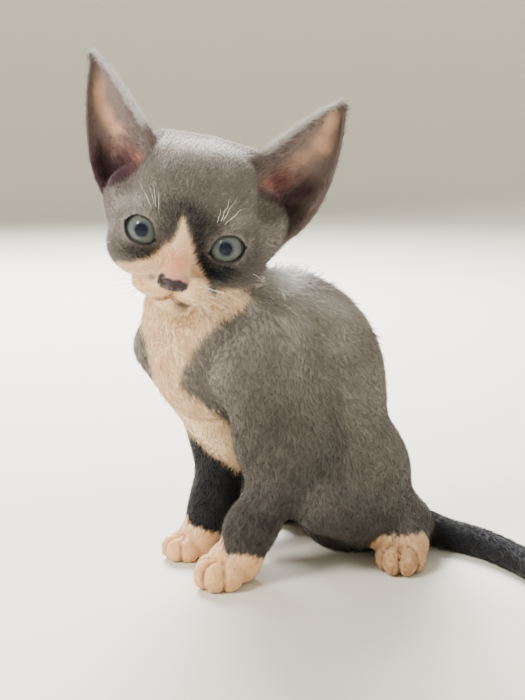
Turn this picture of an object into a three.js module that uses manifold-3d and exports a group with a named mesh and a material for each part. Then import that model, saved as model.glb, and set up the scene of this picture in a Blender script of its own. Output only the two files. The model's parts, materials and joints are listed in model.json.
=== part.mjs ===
// Seated Devon Rex kitten, life size, in millimetres, +Z up.
// The kitten's body faces -Y and its left side is +X. Its head is turned to its left.
// One rounded body form is worked out as a distance field, meshed, and parted by thin cuts
// into the head, ears, eyes, neck, trunk, legs, paws and lengths of tail.

import * as THREE from 'three';
import { mergeVertices } from 'three/addons/utils/BufferGeometryUtils.js';
import Module from 'manifold-3d';

const wasm = await Module();
wasm.setup();

// Driving dimensions

const EYE_SPACING = 32;          // between the centres of the two eyes
const EYEBALL_RADIUS = 8.4;
const CORNEA_RADIUS = 5.8;
const CORNEA_FORWARD = 3.6;      // cornea's centre ahead of the eyeball's centre
const EYE_DEPTH = 7.6;           // eyeball's centre behind the face plane
const EYE_RINGS = 6;             // rings of facets on each eye
const GAZE_TURN = 4;             // degrees that both eyes look to the kitten's left
const GAZE_LIFT = 3;             // degrees that both eyes look up
const HEAD_AT = [6.5, -51.6, 131.6];   // midpoint of the eyes
const HEAD_TURN = 57;            // degrees to the kitten's left of where the body faces
const HEAD_LIFT = 2;             // degrees that the face looks up
const HEAD_ROLL = 12.5;          // degrees that the left ear is lower than the right
const EAR_WALL = 1.9;            // thickness of the ear flap with its fur
const WRIST_BACK = 9;            // wrist behind the middle of its paw
const GAP = 0.3;                 // left open between neighbouring pieces
const SINK = 1.2;                // how far the rounded feet reach below the floor before the flats are cut
const ORIGIN_SHIFT = [-42.5, -0.6, 0];  // puts the origin under the middle of the whole model

// Mesh step of each kind of sub-part: finer where the form is finer
const MESH_STEP = { head: 3.0, nose: 2.4, paw: 3.0, limb: 4.8, trunk: 6.0, tail: 4.4 };

// How far the surface may move when its mesh is thinned out
const THINNING = { head: 0.52, nose: 0.25, paw: 0.65, limb: 1.2, trunk: 1.4, tail: 0.9 };

// A last thinning of the cut pieces: what it may move, and the edges that are always taken away
const SEAM_TOLERANCE = 0.08;
const SHORTEST_EDGE = 0.06;

const SIDES = { left: 1, right: -1 };

// Small vector helpers

const radians = THREE.MathUtils.degToRad;

// Axes of a turned frame: turn about Z, then lift about X, then roll about Y, in degrees
function turned(turn = 0, lift = 0, roll = 0) {
  const matrix = new THREE.Matrix4()
    .makeRotationZ(radians(turn))
    .multiply(new THREE.Matrix4().makeRotationX(radians(lift)))
    .multiply(new THREE.Matrix4().makeRotationY(radians(roll)));
  return matrix.elements;
}

function intoFrame(axes, origin, p) {
  const x = p[0] - origin[0];
  const y = p[1] - origin[1];
  const z = p[2] - origin[2];
  return [
    axes[0] * x + axes[1] * y + axes[2] * z,
    axes[4] * x + axes[5] * y + axes[6] * z,
    axes[8] * x + axes[9] * y + axes[10] * z,
  ];
}

function outOfFrame(axes, origin, q) {
  return [
    origin[0] + axes[0] * q[0] + axes[4] * q[1] + axes[8] * q[2],
    origin[1] + axes[1] * q[0] + axes[5] * q[1] + axes[9] * q[2],
    origin[2] + axes[2] * q[0] + axes[6] * q[1] + axes[10] * q[2],
  ];
}

// Rounded forms: each returns a function that gives the distance from a point to its surface

function ball(centre, radii, turn = 0, lift = 0, roll = 0) {
  const axes = turned(turn, lift, roll);
  return (p) => {
    const [x, y, z] = intoFrame(axes, centre, p);
    const near = Math.hypot(x / radii[0], y / radii[1], z / radii[2]);
    const slope = Math.hypot(x / radii[0] ** 2, y / radii[1] ** 2, z / radii[2] ** 2);
    return slope < 1e-9 ? -Math.min(...radii) : (near * (near - 1)) / slope;
  };
}

function limb(from, to, fromRadius, toRadius) {
  const axis = to.map((value, i) => value - from[i]);
  const length2 = axis.reduce((sum, value) => sum + value * value, 0);
  const taper = fromRadius - toRadius;
  const flat2 = length2 - taper * taper;
  return (p) => {
    const a = p.map((value, i) => value - from[i]);
    const along = a.reduce((sum, value, i) => sum + value * axis[i], 0);
    const rest = along - length2;
    const side2 = a.reduce((sum, value, i) => sum + (value * length2 - axis[i] * along) ** 2, 0);
    const end2 = rest * rest * length2;
    const start2 = along * along * length2;
    const k = Math.sign(taper) * taper * taper * side2;
    if (Math.sign(rest) * flat2 * end2 > k) return Math.sqrt(side2 + end2) / length2 - toRadius;
    if (Math.sign(along) * flat2 * start2 < k) return Math.sqrt(side2 + start2) / length2 - fromRadius;
    return (Math.sqrt(side2 * flat2 / length2) + along * taper) / length2 - fromRadius;
  };
}

// Joins two distances with a rounded seam of the given width.
function soften(a, b, width) {
  const h = Math.max(width - Math.abs(a - b), 0) / width;
  return Math.min(a, b) - h * h * width * 0.25;
}

function blended(width, forms) {
  return (p) => forms.reduce((sum, form) => soften(sum, form(p), width), 1e3);
}

// Takes one form out of another with a rounded rim.
function hollowed(a, b, width) {
  return -soften(-a, b, width);
}

// The same form on the left and on the right
function pair(make) {
  return Object.values(SIDES).map((side) => make(side));
}

// Head, in its own frame: origin midway between the eyes, x to its left, -y ahead, z up

const headAxes = turned(HEAD_TURN, HEAD_LIFT, HEAD_ROLL);
const headPoint = (q) => outOfFrame(headAxes, HEAD_AT, q);

const skull = blended(8, [
  ball([0, 26, 11], [25.5, 27.5, 25.5]),
  ball([0, 13, 14], [22, 20, 20]),
  ...pair((s) => ball([s * 15.5, 24, 22], [11.5, 15, 13], 0, 0, s * 20)),
  ...pair((s) => ball([s * 17.5, 22, -5.5], [12.5, 17.5, 14])),
  ...pair((s) => ball([s * 28, 28, 7], [8.5, 10, 12])),
  ...pair((s) => ball([s * 18, 14, -8], [10, 13, 9.5])),
]);

const face = blended(5, [
  ...pair((s) => ball([s * 16, 12, 0], [10.5, 8.2, 9.5])),
  limb([0, 6, 6], [0, -4.6, -12.5], 8.6, 5),
  ...pair((s) => ball([s * 7.4, -1.8, -17.8], [8.6, 8.5, 6.4])),
  ball([0, 1.0, -22.6], [8.6, 8.6, 5.4]),
  ball([0, 12, -15], [16, 14, 10]),
]);

const nose = ball([0, -8.2, -14.9], [5.2, 3.8, 3.7]);
const earHollows = [
  ...pair((s) => ball([s * 31.5, 17, 25], [10.5, 13, 15], 0, 0, s * 25)),
  ...pair((s) => ball([s * 27, 15, 36], [10.5, 13, 11])),
];

function headForm(p) {
  const q = intoFrame(headAxes, HEAD_AT, p);
  const base = soften(soften(skull(q), face(q), 6), nose(q), 2.5);
  return earHollows.reduce((sum, hollow) => hollowed(sum, hollow(q), 2.5), base);
}

// Trunk and neck

const trunkForm = blended(16, [
  ball([-4, -35, 84], [23, 25, 26], 0, -12),
  ball([-1, -6, 96], [21, 26, 20], 0, -20),
  ball([0, 5, 79], [26, 36, 31], 0, -30),
  ball([0, 14, 52], [28, 25.5, 34], 0, 18),
  ball([0, 23, 22], [28, 21, 25]),
  ball([0, 33, 14], [20, 19, 15]),
]);

const neckForm = blended(14, [
  limb([-4, -32, 94], [-6, -33, 107], 23, 22),
  limb([-6, -33, 107], [-10, -32, 122], 22, 19),
]);

// Legs

function foreleg(shoulder, elbow, paw) {
  const wrist = [paw[0], paw[1] + WRIST_BACK, 20];
  return blended(8, [
    limb(shoulder, elbow, 13, 12),
    ball([Math.sign(shoulder[0]) * 16, -20, 84], [11, 18, 22], 0, 18),
    limb(elbow, wrist, 12, 9.8),
    limb(wrist, [paw[0], paw[1] + 3, 9], 9.6, 8.4),
  ]);
}

function hindleg(s, paw) {
  const knee = [s * 27, -4, 27];
  const hock = [s * 24, 40, 13];
  return blended(10, [
    ball([s * 19, 20, 33], [14, 25, 25], s * 8, 30),
    limb(knee, hock, 11, 9),
    limb(hock, [paw[0], paw[1] + 3, 9], 8.5, 7.6),
  ]);
}

// Paw: palm and four toes on a fan, its heading in degrees outwards from straight ahead
function pawForm({ at, heading, size }) {
  const axes = turned(heading);
  const place = (...q) => outOfFrame(axes, [...at, -SINK], q.map((value) => value * size));
  const grow = (...radii) => radii.map((value) => value * size);
  const toes = [-38, -13, 13, 38].map((spread) => {
    const reach = Math.abs(spread) > 20 ? 7.2 : 9.4;
    const x = reach * 1.25 * Math.sin(radians(spread));
    const y = -reach * Math.cos(radians(spread));
    return ball(place(x, y, 6), grow(4.4, 5.8, 6), heading - spread * 0.5);
  });
  return blended(2.2, [ball(place(0, 2, 8), grow(10.2, 10.5, 8.4), heading), ...toes]);
}

const PAWS = {
  fore_left: { at: [15.8, -38.4], heading: 18, size: 1.1 },
  fore_right: { at: [-16.5, -37], heading: -2, size: 0.95 },
  hind_left: { at: [34.5, 29], heading: 50, size: 1.08 },
  hind_right: { at: [-34, 22], heading: -34, size: 1.08 },
};

// Tail, laid on the floor round the kitten's left side: each point's place and radius
const TAIL = [
  [4, 44, 12, 8.5],
  [25, 56, 6.4, 7.4],
  [44, 63, 5.8, 6.8],
  [67, 64, 5.3, 6.3],
  [86, 60.5, 4.8, 5.8],
  [104, 58.5, 4.3, 5.3],
  [119, 60.5, 3.8, 4.8],
  [129, 66, 2.9, 3.9],
];

const tailForm = blended(3, TAIL.slice(1).map(([x, y, z, radius], i) => {
  const [x0, y0, z0, radius0] = TAIL[i];
  return limb([x0, y0, z0], [x, y, z], radius0, radius);
}));

const legForms = [
  foreleg([17, -35, 82], [19, -11, 50], PAWS.fore_left.at),
  foreleg([-22, -47, 87], [-17, -23, 50], PAWS.fore_right.at),
  hindleg(1, PAWS.hind_left.at),
  hindleg(-1, PAWS.hind_right.at),
];
const pawForms = Object.values(PAWS).map(pawForm);

// The whole animal without its ear flaps
function bodyForm(p) {
  const core = soften(trunkForm(p), neckForm(p), 16);
  const limbed = legForms.reduce((sum, leg) => soften(sum, leg(p), 9), core);
  const tailed = soften(limbed, tailForm(p), 6);
  const footed = pawForms.reduce((sum, paw) => soften(sum, paw(p), 4), tailed);
  return soften(footed, headForm(p), 4);
}

// Closed mesh of a distance field inside a box: one vertex in each crossed cell, one face for each crossed edge
function meshOf(field, low, high, step) {
  const count = low.map((value, i) => Math.ceil((high[i] - value) / step) + 3);
  const origin = low.map((value) => value - step);
  const at = (i, j, k) => [origin[0] + i * step, origin[1] + j * step, origin[2] + k * step];
  const index = (i, j, k) => i + count[0] * (j + count[1] * k);
  const values = new Float64Array(count[0] * count[1] * count[2]);
  for (let k = 0; k < count[2]; k += 1) {
    for (let j = 0; j < count[1]; j += 1) {
      for (let i = 0; i < count[0]; i += 1) {
        const rim = [i, j, k].some((n, a) => n === 0 || n === count[a] - 1);
        values[index(i, j, k)] = rim ? step : field(at(i, j, k));
      }
    }
  }
  const cells = new Map();
  const points = [];
  const edges = [];
  for (let a = 0; a < 8; a += 1) {
    for (const bit of [1, 2, 4]) if (!(a & bit)) edges.push([a, a | bit]);
  }
  for (let k = 0; k + 1 < count[2]; k += 1) {
    for (let j = 0; j + 1 < count[1]; j += 1) {
      for (let i = 0; i + 1 < count[0]; i += 1) {
        const corner = (c) => [i + (c & 1), j + ((c >> 1) & 1), k + ((c >> 2) & 1)];
        const sum = [0, 0, 0];
        let crossings = 0;
        for (const [a, b] of edges) {
          const va = values[index(...corner(a))];
          const vb = values[index(...corner(b))];
          if ((va < 0) === (vb < 0)) continue;
          const t = va / (va - vb);
          const pa = at(...corner(a));
          const pb = at(...corner(b));
          for (let n = 0; n < 3; n += 1) sum[n] += pa[n] + t * (pb[n] - pa[n]);
          crossings += 1;
        }
        if (crossings === 0) continue;
        cells.set(index(i, j, k), points.length);
        points.push(sum.map((value) => value / crossings));
      }
    }
  }
  const triangles = [];
  const distance2 = (a, b) => points[a].reduce((total, value, n) => total + (value - points[b][n]) ** 2, 0);
  const addFace = (quad, flipped) => {
    const [a, b, c, d] = flipped ? [...quad].reverse() : quad;
    if (distance2(a, c) < distance2(b, d)) triangles.push(a, b, c, a, c, d);
    else triangles.push(a, b, d, b, c, d);
  };
  for (let k = 0; k + 1 < count[2]; k += 1) {
    for (let j = 0; j + 1 < count[1]; j += 1) {
      for (let i = 0; i + 1 < count[0]; i += 1) {
        const inside = values[index(i, j, k)] < 0;
        const ahead = [[i + 1, j, k], [i, j + 1, k], [i, j, k + 1]];
        const rings = [
          [[i, j - 1, k - 1], [i, j, k - 1], [i, j, k], [i, j - 1, k]],
          [[i - 1, j, k - 1], [i - 1, j, k], [i, j, k], [i, j, k - 1]],
          [[i - 1, j - 1, k], [i, j - 1, k], [i, j, k], [i - 1, j, k]],
        ];
        for (let n = 0; n < 3; n += 1) {
          if ((values[index(...ahead[n])] < 0) === inside) continue;
          addFace(rings[n].map((cell) => cells.get(index(...cell))), !inside);
        }
      }
    }
  }
  return { points: settle(points, field, low, high), triangles };
}

// Moves the vertices of a mesh onto the field's surface, inside the box
function settle(points, field, low, high) {
  const h = 0.05;
  return points.map((start) => {
    if (start.some((value, n) => value <= low[n] || value >= high[n])) return start;
    let p = start;
    for (let round = 0; round < 3; round += 1) {
      const d = field(p);
      const slope = [0, 1, 2].map((n) => {
        const q = [...p];
        q[n] += h;
        return (field(q) - d) / h;
      });
      const steep = Math.max(slope.reduce((sum, value) => sum + value * value, 0), 0.25);
      p = p.map((value, n) => value - (slope[n] * d) / steep);
    }
    return p;
  });
}

// Thins out a closed mesh: takes away each vertex whose faces stay within the tolerance of a neighbour
function thinned({ points, triangles }, tolerance) {
  const faces = [];
  for (let t = 0; t < triangles.length; t += 3) faces.push(triangles.slice(t, t + 3));
  const around = points.map(() => new Set());
  faces.forEach((face, f) => face.forEach((v) => around[v].add(f)));
  const vector = (v) => new THREE.Vector3(...points[v]);
  const crossOf = (a, b, c) => vector(b).sub(vector(a)).cross(vector(c).sub(vector(a)));
  const neighbours = (v) => new Set([...around[v]].flatMap((f) => faces[f]).filter((n) => n !== v));
  const costOf = (v, target) => {
    const close = vector(v).distanceTo(vector(target)) < SHORTEST_EDGE;
    let cost = 0;
    for (const f of around[v]) {
      const face = faces[f];
      const before = crossOf(...face).normalize();
      cost = Math.max(cost, Math.abs(before.dot(vector(target).sub(vector(v)))));
      if (close || face.includes(target)) continue;
      const after = crossOf(...face.map((n) => (n === v ? target : n)));
      const longest = Math.max(...face.map((n) => vector(n).distanceTo(vector(target))));
      if (after.length() < 0.12 * longest * longest) return Infinity;
      if (after.normalize().dot(before) < 0.6) return Infinity;
    }
    return cost;
  };
  for (const share of [0.15, 0.3, 0.5, 0.75, 1, 1, 1]) {
    const limit = tolerance * share;
    for (let v = 0; v < points.length; v += 1) {
      if (around[v].size === 0) continue;
      const ring = neighbours(v);
      let best = null;
      for (const target of ring) {
        const shared = [...neighbours(target)].filter((n) => ring.has(n)).length;
        const cost = shared === 2 ? costOf(v, target) : Infinity;
        if (cost < limit && (!best || cost < best.cost)) best = { target, cost };
      }
      if (!best) continue;
      for (const f of around[v]) {
        if (faces[f].includes(best.target)) {
          faces[f].forEach((n) => n !== v && around[n].delete(f));
          faces[f] = null;
        } else {
          faces[f] = faces[f].map((n) => (n === v ? best.target : n));
          around[best.target].add(f);
        }
      }
      around[v] = new Set();
    }
  }
  const kept = new Map();
  const renumber = (v) => kept.get(v) ?? kept.set(v, kept.size).get(v);
  const thinTriangles = faces.filter(Boolean).flat().map(renumber);
  return { points: [...kept.keys()].map((v) => points[v]), triangles: thinTriangles };
}

// Solids for joining and cutting

function solidFrom(points, triangles) {
  return new wasm.Manifold(new wasm.Mesh({
    numProp: 3,
    vertProperties: new Float32Array(points.flat()),
    triVerts: new Uint32Array(triangles),
  }));
}

function solidOf(geometry, matrix) {
  const bare = geometry.clone();
  bare.deleteAttribute('normal');
  bare.deleteAttribute('uv');
  const merged = mergeVertices(bare, 1e-4);
  if (matrix) merged.applyMatrix4(matrix);
  return new wasm.Manifold(new wasm.Mesh({
    numProp: 3,
    vertProperties: new Float32Array(merged.attributes.position.array),
    triVerts: new Uint32Array(merged.index.array),
  }));
}

// The same solid without the slivers that cutting leaves
function cleaned(solid) {
  const { vertProperties, triVerts } = solid.getMesh();
  const points = [];
  for (let v = 0; v < vertProperties.length; v += 3) points.push([...vertProperties.slice(v, v + 3)]);
  const thin = thinned({ points, triangles: [...triVerts] }, SEAM_TOLERANCE);
  return solidFrom(thin.points, thin.triangles);
}

function geometryOf(solid) {
  const mesh = solid.getMesh();
  const geometry = new THREE.BufferGeometry();
  geometry.setAttribute('position', new THREE.BufferAttribute(new Float32Array(mesh.vertProperties), 3));
  geometry.setIndex(new THREE.BufferAttribute(new Uint32Array(mesh.triVerts), 1));
  const flat = geometry.toNonIndexed();
  flat.computeVertexNormals();
  return flat;
}

// A block or an egg that takes one sub-part out of the body: its middle, its size and its axes
function block(middle, size, axes = turned()) {
  return { middle, size, axes, round: false };
}

function egg(middle, size, axes = turned()) {
  return { middle, size, axes, round: true };
}

function cutterSolid({ middle, size, axes, round }, extra = 0) {
  const matrix = new THREE.Matrix4().fromArray(axes);
  matrix.setPosition(...middle);
  const shape = round ? new THREE.SphereGeometry(0.5, 16, 10) : new THREE.BoxGeometry(1, 1, 1);
  shape.scale(...size.map((value) => value + 2 * extra));
  return solidOf(shape, matrix);
}

// The biggest body of a solid: a cut along a curved surface can leave specks behind
function mainBody(solid) {
  return solid.decompose().reduce((best, body) => (body.volume() > best.volume() ? body : best));
}

// Lowest and highest corners of a cutter, with a margin
function cutterBounds({ middle, size, axes }) {
  const margin = 2;
  const low = [Infinity, Infinity, Infinity];
  const high = [-Infinity, -Infinity, -Infinity];
  for (let c = 0; c < 8; c += 1) {
    const corner = size.map((value, n) => ((c >> n) & 1 ? 0.5 : -0.5) * value);
    outOfFrame(axes, middle, corner).forEach((value, n) => {
      low[n] = Math.min(low[n], value - margin);
      high[n] = Math.max(high[n], value + margin);
    });
  }
  return [low, high];
}

// What takes each sub-part out of the body, in the order of the cuts
const CUTTERS = [
  ['nose', 'nose', block(headPoint([0, -11.6, -14.6]), [12, 5, 9.4], headAxes)],
  ['head', 'head', egg(headPoint([0, 21, 3]), [80, 80, 84], headAxes)],
  ['paw_fore_left', 'paw', block([19, -40, 4], [36, 38, 24], turned(18))],
  ['paw_fore_right', 'paw', block([-18, -38, 4], [30, 38, 24], turned(-2))],
  ['paw_hind_left', 'paw', block([42, 22, 4], [30, 30, 24], turned(52))],
  ['paw_hind_right', 'paw', block([-42, 15, 4], [30, 30, 24], turned(-34))],
  ['foreleg_lower_left', 'limb', block([17.5, -21, 32], [32, 25, 40], turned(0, -31))],
  ['foreleg_lower_right', 'limb', block([-18, -27, 33], [32, 27, 38], turned(0, -8))],
  ['tail_base', 'tail', block([38, 70, 6], [36, 50, 30], turned(20))],
  ['tail_middle', 'tail', block([73, 66, 6], [38, 60, 30])],
  ['tail_tip', 'tail', block([115, 64, 6], [45.4, 60, 30])],
  ['neck', 'limb', egg([-6, -30, 112], [64, 66, 46], turned(20, 10))],
  ['foreleg_upper_left', 'limb', egg([27, -24, 72], [34, 62, 58])],
  ['foreleg_upper_right', 'limb', egg([-31, -33, 72], [34, 58, 58])],
  ['thigh_left', 'limb', egg([34, 13, 28], [40, 68, 60])],
  ['thigh_right', 'limb', egg([-34, 13, 28], [40, 68, 60])],
  ['chest', 'trunk', block([0, -58, 75], [90, 110, 110], turned(0, -25))],
];

const TRUNK_LOW = [-60, -75, -8];    // corners of the space that holds the trunk
const TRUNK_HIGH = [60, 80, 140];
const FLOOR = [400, 400, 40];
const floor = solidOf(new THREE.BoxGeometry(...FLOOR), new THREE.Matrix4().makeTranslation(0, 0, -FLOOR[2] / 2));

function bodyMesh(kind, low, high) {
  return thinned(meshOf(bodyForm, low, high, MESH_STEP[kind]), THINNING[kind]);
}

// The body's pieces by name: each cutter's share in turn, and what is left over is the belly and rump
function bodyPieces() {
  const pieces = new Map();
  const taken = [];
  const shareOf = (mesh) => {
    const whole = solidFrom(mesh.points, mesh.triangles).subtract(floor);
    return taken.reduce((solid, other) => solid.subtract(cutterSolid(other, GAP)), whole);
  };
  for (const [name, kind, cutter] of CUTTERS) {
    const mesh = bodyMesh(kind, ...cutterBounds(cutter));
    pieces.set(name, mainBody(shareOf(mesh).intersect(cutterSolid(cutter))));
    taken.push(cutter);
  }
  pieces.set('belly', mainBody(shareOf(bodyMesh('trunk', TRUNK_LOW, TRUNK_HIGH))));
  return pieces;
}

// Eyes: an eyeball with its clear front bulging ahead along the gaze

function eyePlace(s) {
  return headPoint([s * EYE_SPACING / 2, EYE_DEPTH, 0]);
}

function eyeSolid(s, extra = 0) {
  const gaze = new THREE.Matrix4()
    .fromArray(headAxes)
    .multiply(new THREE.Matrix4().fromArray(turned(GAZE_TURN, GAZE_LIFT)));
  const ballOf = (radius, ahead) => {
    const sphere = new THREE.SphereGeometry(radius + extra, EYE_RINGS * 2, EYE_RINGS);
    const matrix = gaze.clone().setPosition(...outOfFrame(gaze.elements, eyePlace(s), [0, -ahead, 0]));
    return solidOf(sphere, matrix);
  };
  return ballOf(EYEBALL_RADIUS, 0).add(ballOf(CORNEA_RADIUS, CORNEA_FORWARD));
}

// Ear flap in the head's frame, for the left side: its inner and outer edges run from base to tip
const EAR = {
  inner: [[16, 14, 31], [26, 15, 44], [37, 17, 54.5], [45.5, 20, 60.5]],
  outer: [[35, 26, 3], [51.5, 28, 14], [50, 25, 50], [45.5, 20, 60.5]],
  cup: 15,                       // how far the flap bulges back at its base
  rows: 7,
  columns: 6,
};
const EAR_SPREAD = { left: 0, right: 6 };   // degrees that each ear leans out
const EAR_TURN = { left: 0, right: 12 };    // degrees that each ear's opening turns out
const EAR_ROOT = [24, 20, 16];

function bezier(points, t) {
  const r = 1 - t;
  const weights = [r * r * r, 3 * r * r * t, 3 * r * t * t, t * t * t];
  return [0, 1, 2].map((n) => points.reduce((sum, point, i) => sum + point[n] * weights[i], 0));
}

// Point on the middle of the flap: u across from the inner edge, -1, to the outer edge, 1; v from base to tip
function earPoint(u, v) {
  const a = bezier(EAR.inner, v);
  const b = bezier(EAR.outer, v);
  const share = (u + 1) / 2;
  const bulge = EAR.cup * (1 - v) ** 0.7 * (1 - u * u);
  return [
    a[0] + (b[0] - a[0]) * share + bulge * 0.12,
    a[1] + (b[1] - a[1]) * share + bulge * 0.97,
    a[2] + (b[2] - a[2]) * share - bulge * 0.2,
  ];
}

function earSolid(s, turn, spread) {
  const h = 0.02;
  const tipAt = 0.985;
  const lean = turned(turn, 0, spread);
  const wallPoint = (u, v, side) => {
    const p = new THREE.Vector3(...earPoint(u, v));
    const alongU = new THREE.Vector3(...earPoint(u + h, v)).sub(p);
    const alongV = new THREE.Vector3(...earPoint(u, Math.max(v - h, 0))).sub(p);
    if (alongV.length() < 1e-6) alongV.copy(p).sub(new THREE.Vector3(...earPoint(u, v + h)));
    const normal = alongU.cross(alongV).normalize();
    const thin = 0.35 + 0.65 * Math.sqrt(Math.max(1 - u ** 4, 0));
    p.addScaledVector(normal, side * 0.5 * EAR_WALL * thin * (1 - 0.45 * v));
    const leaned = outOfFrame(lean, EAR_ROOT, [p.x - EAR_ROOT[0], p.y - EAR_ROOT[1], p.z - EAR_ROOT[2]]);
    return headPoint([s * leaned[0], leaned[1], leaned[2]]);
  };
  const points = [];
  const triangles = [];
  const columns = EAR.columns;
  const rows = EAR.rows;
  for (const side of [1, -1]) {
    for (let j = 0; j <= rows; j += 1) {
      for (let i = 0; i <= columns; i += 1) points.push(wallPoint(-1 + (2 * i) / columns, (tipAt * j) / rows, side));
    }
  }
  const at = (layer, i, j) => layer * (columns + 1) * (rows + 1) + j * (columns + 1) + i;
  const quad = (a, b, c, d) => triangles.push(a, b, c, a, c, d);
  for (let j = 0; j < rows; j += 1) {
    for (let i = 0; i < columns; i += 1) {
      quad(at(0, i, j), at(0, i, j + 1), at(0, i + 1, j + 1), at(0, i + 1, j));
      quad(at(1, i, j), at(1, i + 1, j), at(1, i + 1, j + 1), at(1, i, j + 1));
    }
    quad(at(0, 0, j), at(1, 0, j), at(1, 0, j + 1), at(0, 0, j + 1));
    quad(at(0, columns, j), at(0, columns, j + 1), at(1, columns, j + 1), at(1, columns, j));
  }
  for (let i = 0; i < columns; i += 1) {
    quad(at(0, i, 0), at(0, i + 1, 0), at(1, i + 1, 0), at(1, i, 0));
    quad(at(0, i, rows), at(1, i, rows), at(1, i + 1, rows), at(0, i + 1, rows));
  }
  if (s < 0) triangles.reverse();
  const solid = solidFrom(points, triangles);
  return solid.volume() < 0 ? solidFrom(points, triangles.reverse()) : solid;
}

// Finishes

const coat = { color: 0x7a7674, roughness: 0.9 };
const white = { color: 0xe9dfd2, roughness: 0.9 };
const leather = { color: 0xb98478, roughness: 0.55 };
const inside = { color: 0xa88477, roughness: 0.8 };
const iris = { color: 0x7f9aa0, roughness: 0.1 };

function finishOf(name) {
  if (name.startsWith('paw')) return white;
  if (name.startsWith('ear')) return inside;
  if (name.startsWith('eye')) return iris;
  return name === 'nose' ? leather : coat;
}

const kitten = new THREE.Group();
const pieces = bodyPieces();
const headBounds = cutterBounds(CUTTERS.find(([name]) => name === 'head')[2]);
const grownHead = thinned(meshOf((p) => bodyForm(p) - 2 * GAP, ...headBounds, MESH_STEP.head), GAP);
const grownHeadSolid = solidFrom(grownHead.points, grownHead.triangles);
for (const [side, s] of Object.entries(SIDES)) {
  pieces.set(`ear_${side}`, mainBody(earSolid(s, EAR_TURN[side], EAR_SPREAD[side]).subtract(grownHeadSolid)));
  pieces.set(`eye_${side}`, eyeSolid(s));
  pieces.set('head', pieces.get('head').subtract(eyeSolid(s, GAP)));
}
for (const [name, solid] of pieces) {
  const mesh = new THREE.Mesh(geometryOf(cleaned(solid)), new THREE.MeshStandardMaterial({ ...finishOf(name), metalness: 0 }));
  mesh.name = name;
  kitten.add(mesh);
}
kitten.position.set(...ORIGIN_SHIFT);

export default kitten;
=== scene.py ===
"""A seated Devon Rex kitten, life size, as a still museum model.

The kitten's forms are the same rounded forms as in its solid model, in millimetres. They are worked out
as one distance field, which is meshed once into a single skin with lids, nostrils, lips and thin ear
flaps. The coat is solid tufts grown on that skin, which take their markings from it.
"""

from __future__ import annotations

import json
import logging
import math
from dataclasses import dataclass, field
from enum import Enum
from typing import Any, Callable, Sequence

import bmesh
import bpy
import numpy as np
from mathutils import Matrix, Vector
from mathutils.bvhtree import BVHTree

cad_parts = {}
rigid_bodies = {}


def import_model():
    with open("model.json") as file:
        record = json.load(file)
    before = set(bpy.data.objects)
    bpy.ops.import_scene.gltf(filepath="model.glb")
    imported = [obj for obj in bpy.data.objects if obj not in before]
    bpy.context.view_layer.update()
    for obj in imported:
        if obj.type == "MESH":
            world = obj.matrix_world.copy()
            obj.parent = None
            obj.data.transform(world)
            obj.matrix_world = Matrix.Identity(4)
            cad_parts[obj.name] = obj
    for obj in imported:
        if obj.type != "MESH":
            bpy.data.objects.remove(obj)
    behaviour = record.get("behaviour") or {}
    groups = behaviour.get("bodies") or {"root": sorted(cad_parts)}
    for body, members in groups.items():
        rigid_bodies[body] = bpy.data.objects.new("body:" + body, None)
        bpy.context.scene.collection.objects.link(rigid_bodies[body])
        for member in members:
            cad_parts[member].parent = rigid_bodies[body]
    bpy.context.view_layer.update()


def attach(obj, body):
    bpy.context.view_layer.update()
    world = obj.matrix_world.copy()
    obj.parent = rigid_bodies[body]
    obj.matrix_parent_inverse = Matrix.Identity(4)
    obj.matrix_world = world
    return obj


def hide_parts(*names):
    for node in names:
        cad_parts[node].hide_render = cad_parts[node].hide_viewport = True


log = logging.getLogger("kitten")

MM = 0.001
ORIGIN_SHIFT = np.array([-42.5, -0.6, 0.0])  # from the forms' own origin to the frame's
SIDES = {"left": 1.0, "right": -1.0}
FAR = 1e3

Array = np.ndarray
Triple = Sequence[float]


# Distance forms


def turned(turn: float = 0.0, lift: float = 0.0, roll: float = 0.0) -> Array:
    """Axes of a turned frame, as the columns of a matrix.

    Args:
        turn: degrees about Z, made first.
        lift: degrees about X.
        roll: degrees about Y.

    Returns:
        A 3 by 3 rotation.
    """
    a, b, c = (math.radians(value) for value in (turn, lift, roll))
    about_z = np.array([[math.cos(a), -math.sin(a), 0], [math.sin(a), math.cos(a), 0], [0, 0, 1]])
    about_x = np.array([[1, 0, 0], [0, math.cos(b), -math.sin(b)], [0, math.sin(b), math.cos(b)]])
    about_y = np.array([[math.cos(c), 0, math.sin(c)], [0, 1, 0], [-math.sin(c), 0, math.cos(c)]])
    return about_z @ about_x @ about_y


@dataclass(frozen=True)
class Place:
    """A frame of its own: an origin in millimetres and the columns of its axes."""

    origin: Triple
    axes: Array

    def inward(self, points: Array) -> Array:
        """Points of the outer frame, given in this one."""
        return (points - np.asarray(self.origin)) @ self.axes

    def outward(self, points: Array) -> Array:
        """Points of this frame, given in the outer one."""
        return np.asarray(self.origin) + np.asarray(points) @ self.axes.T


@dataclass(frozen=True)
class Ball:
    """An egg-shaped form."""

    centre: Triple
    radii: Triple
    turn: float = 0.0
    lift: float = 0.0
    roll: float = 0.0

    def distance(self, points: Array) -> Array:
        """Measures points against the egg.

        Args:
            points: places in millimetres.

        Returns:
            Distances to its surface, less than zero inside.
        """
        local = Place(self.centre, turned(self.turn, self.lift, self.roll)).inward(points)
        radii = np.asarray(self.radii)
        near = np.linalg.norm(local / radii, axis=1)
        slope = np.linalg.norm(local / radii**2, axis=1)
        return near * (near - 1.0) / np.maximum(slope, 1e-9)


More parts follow.
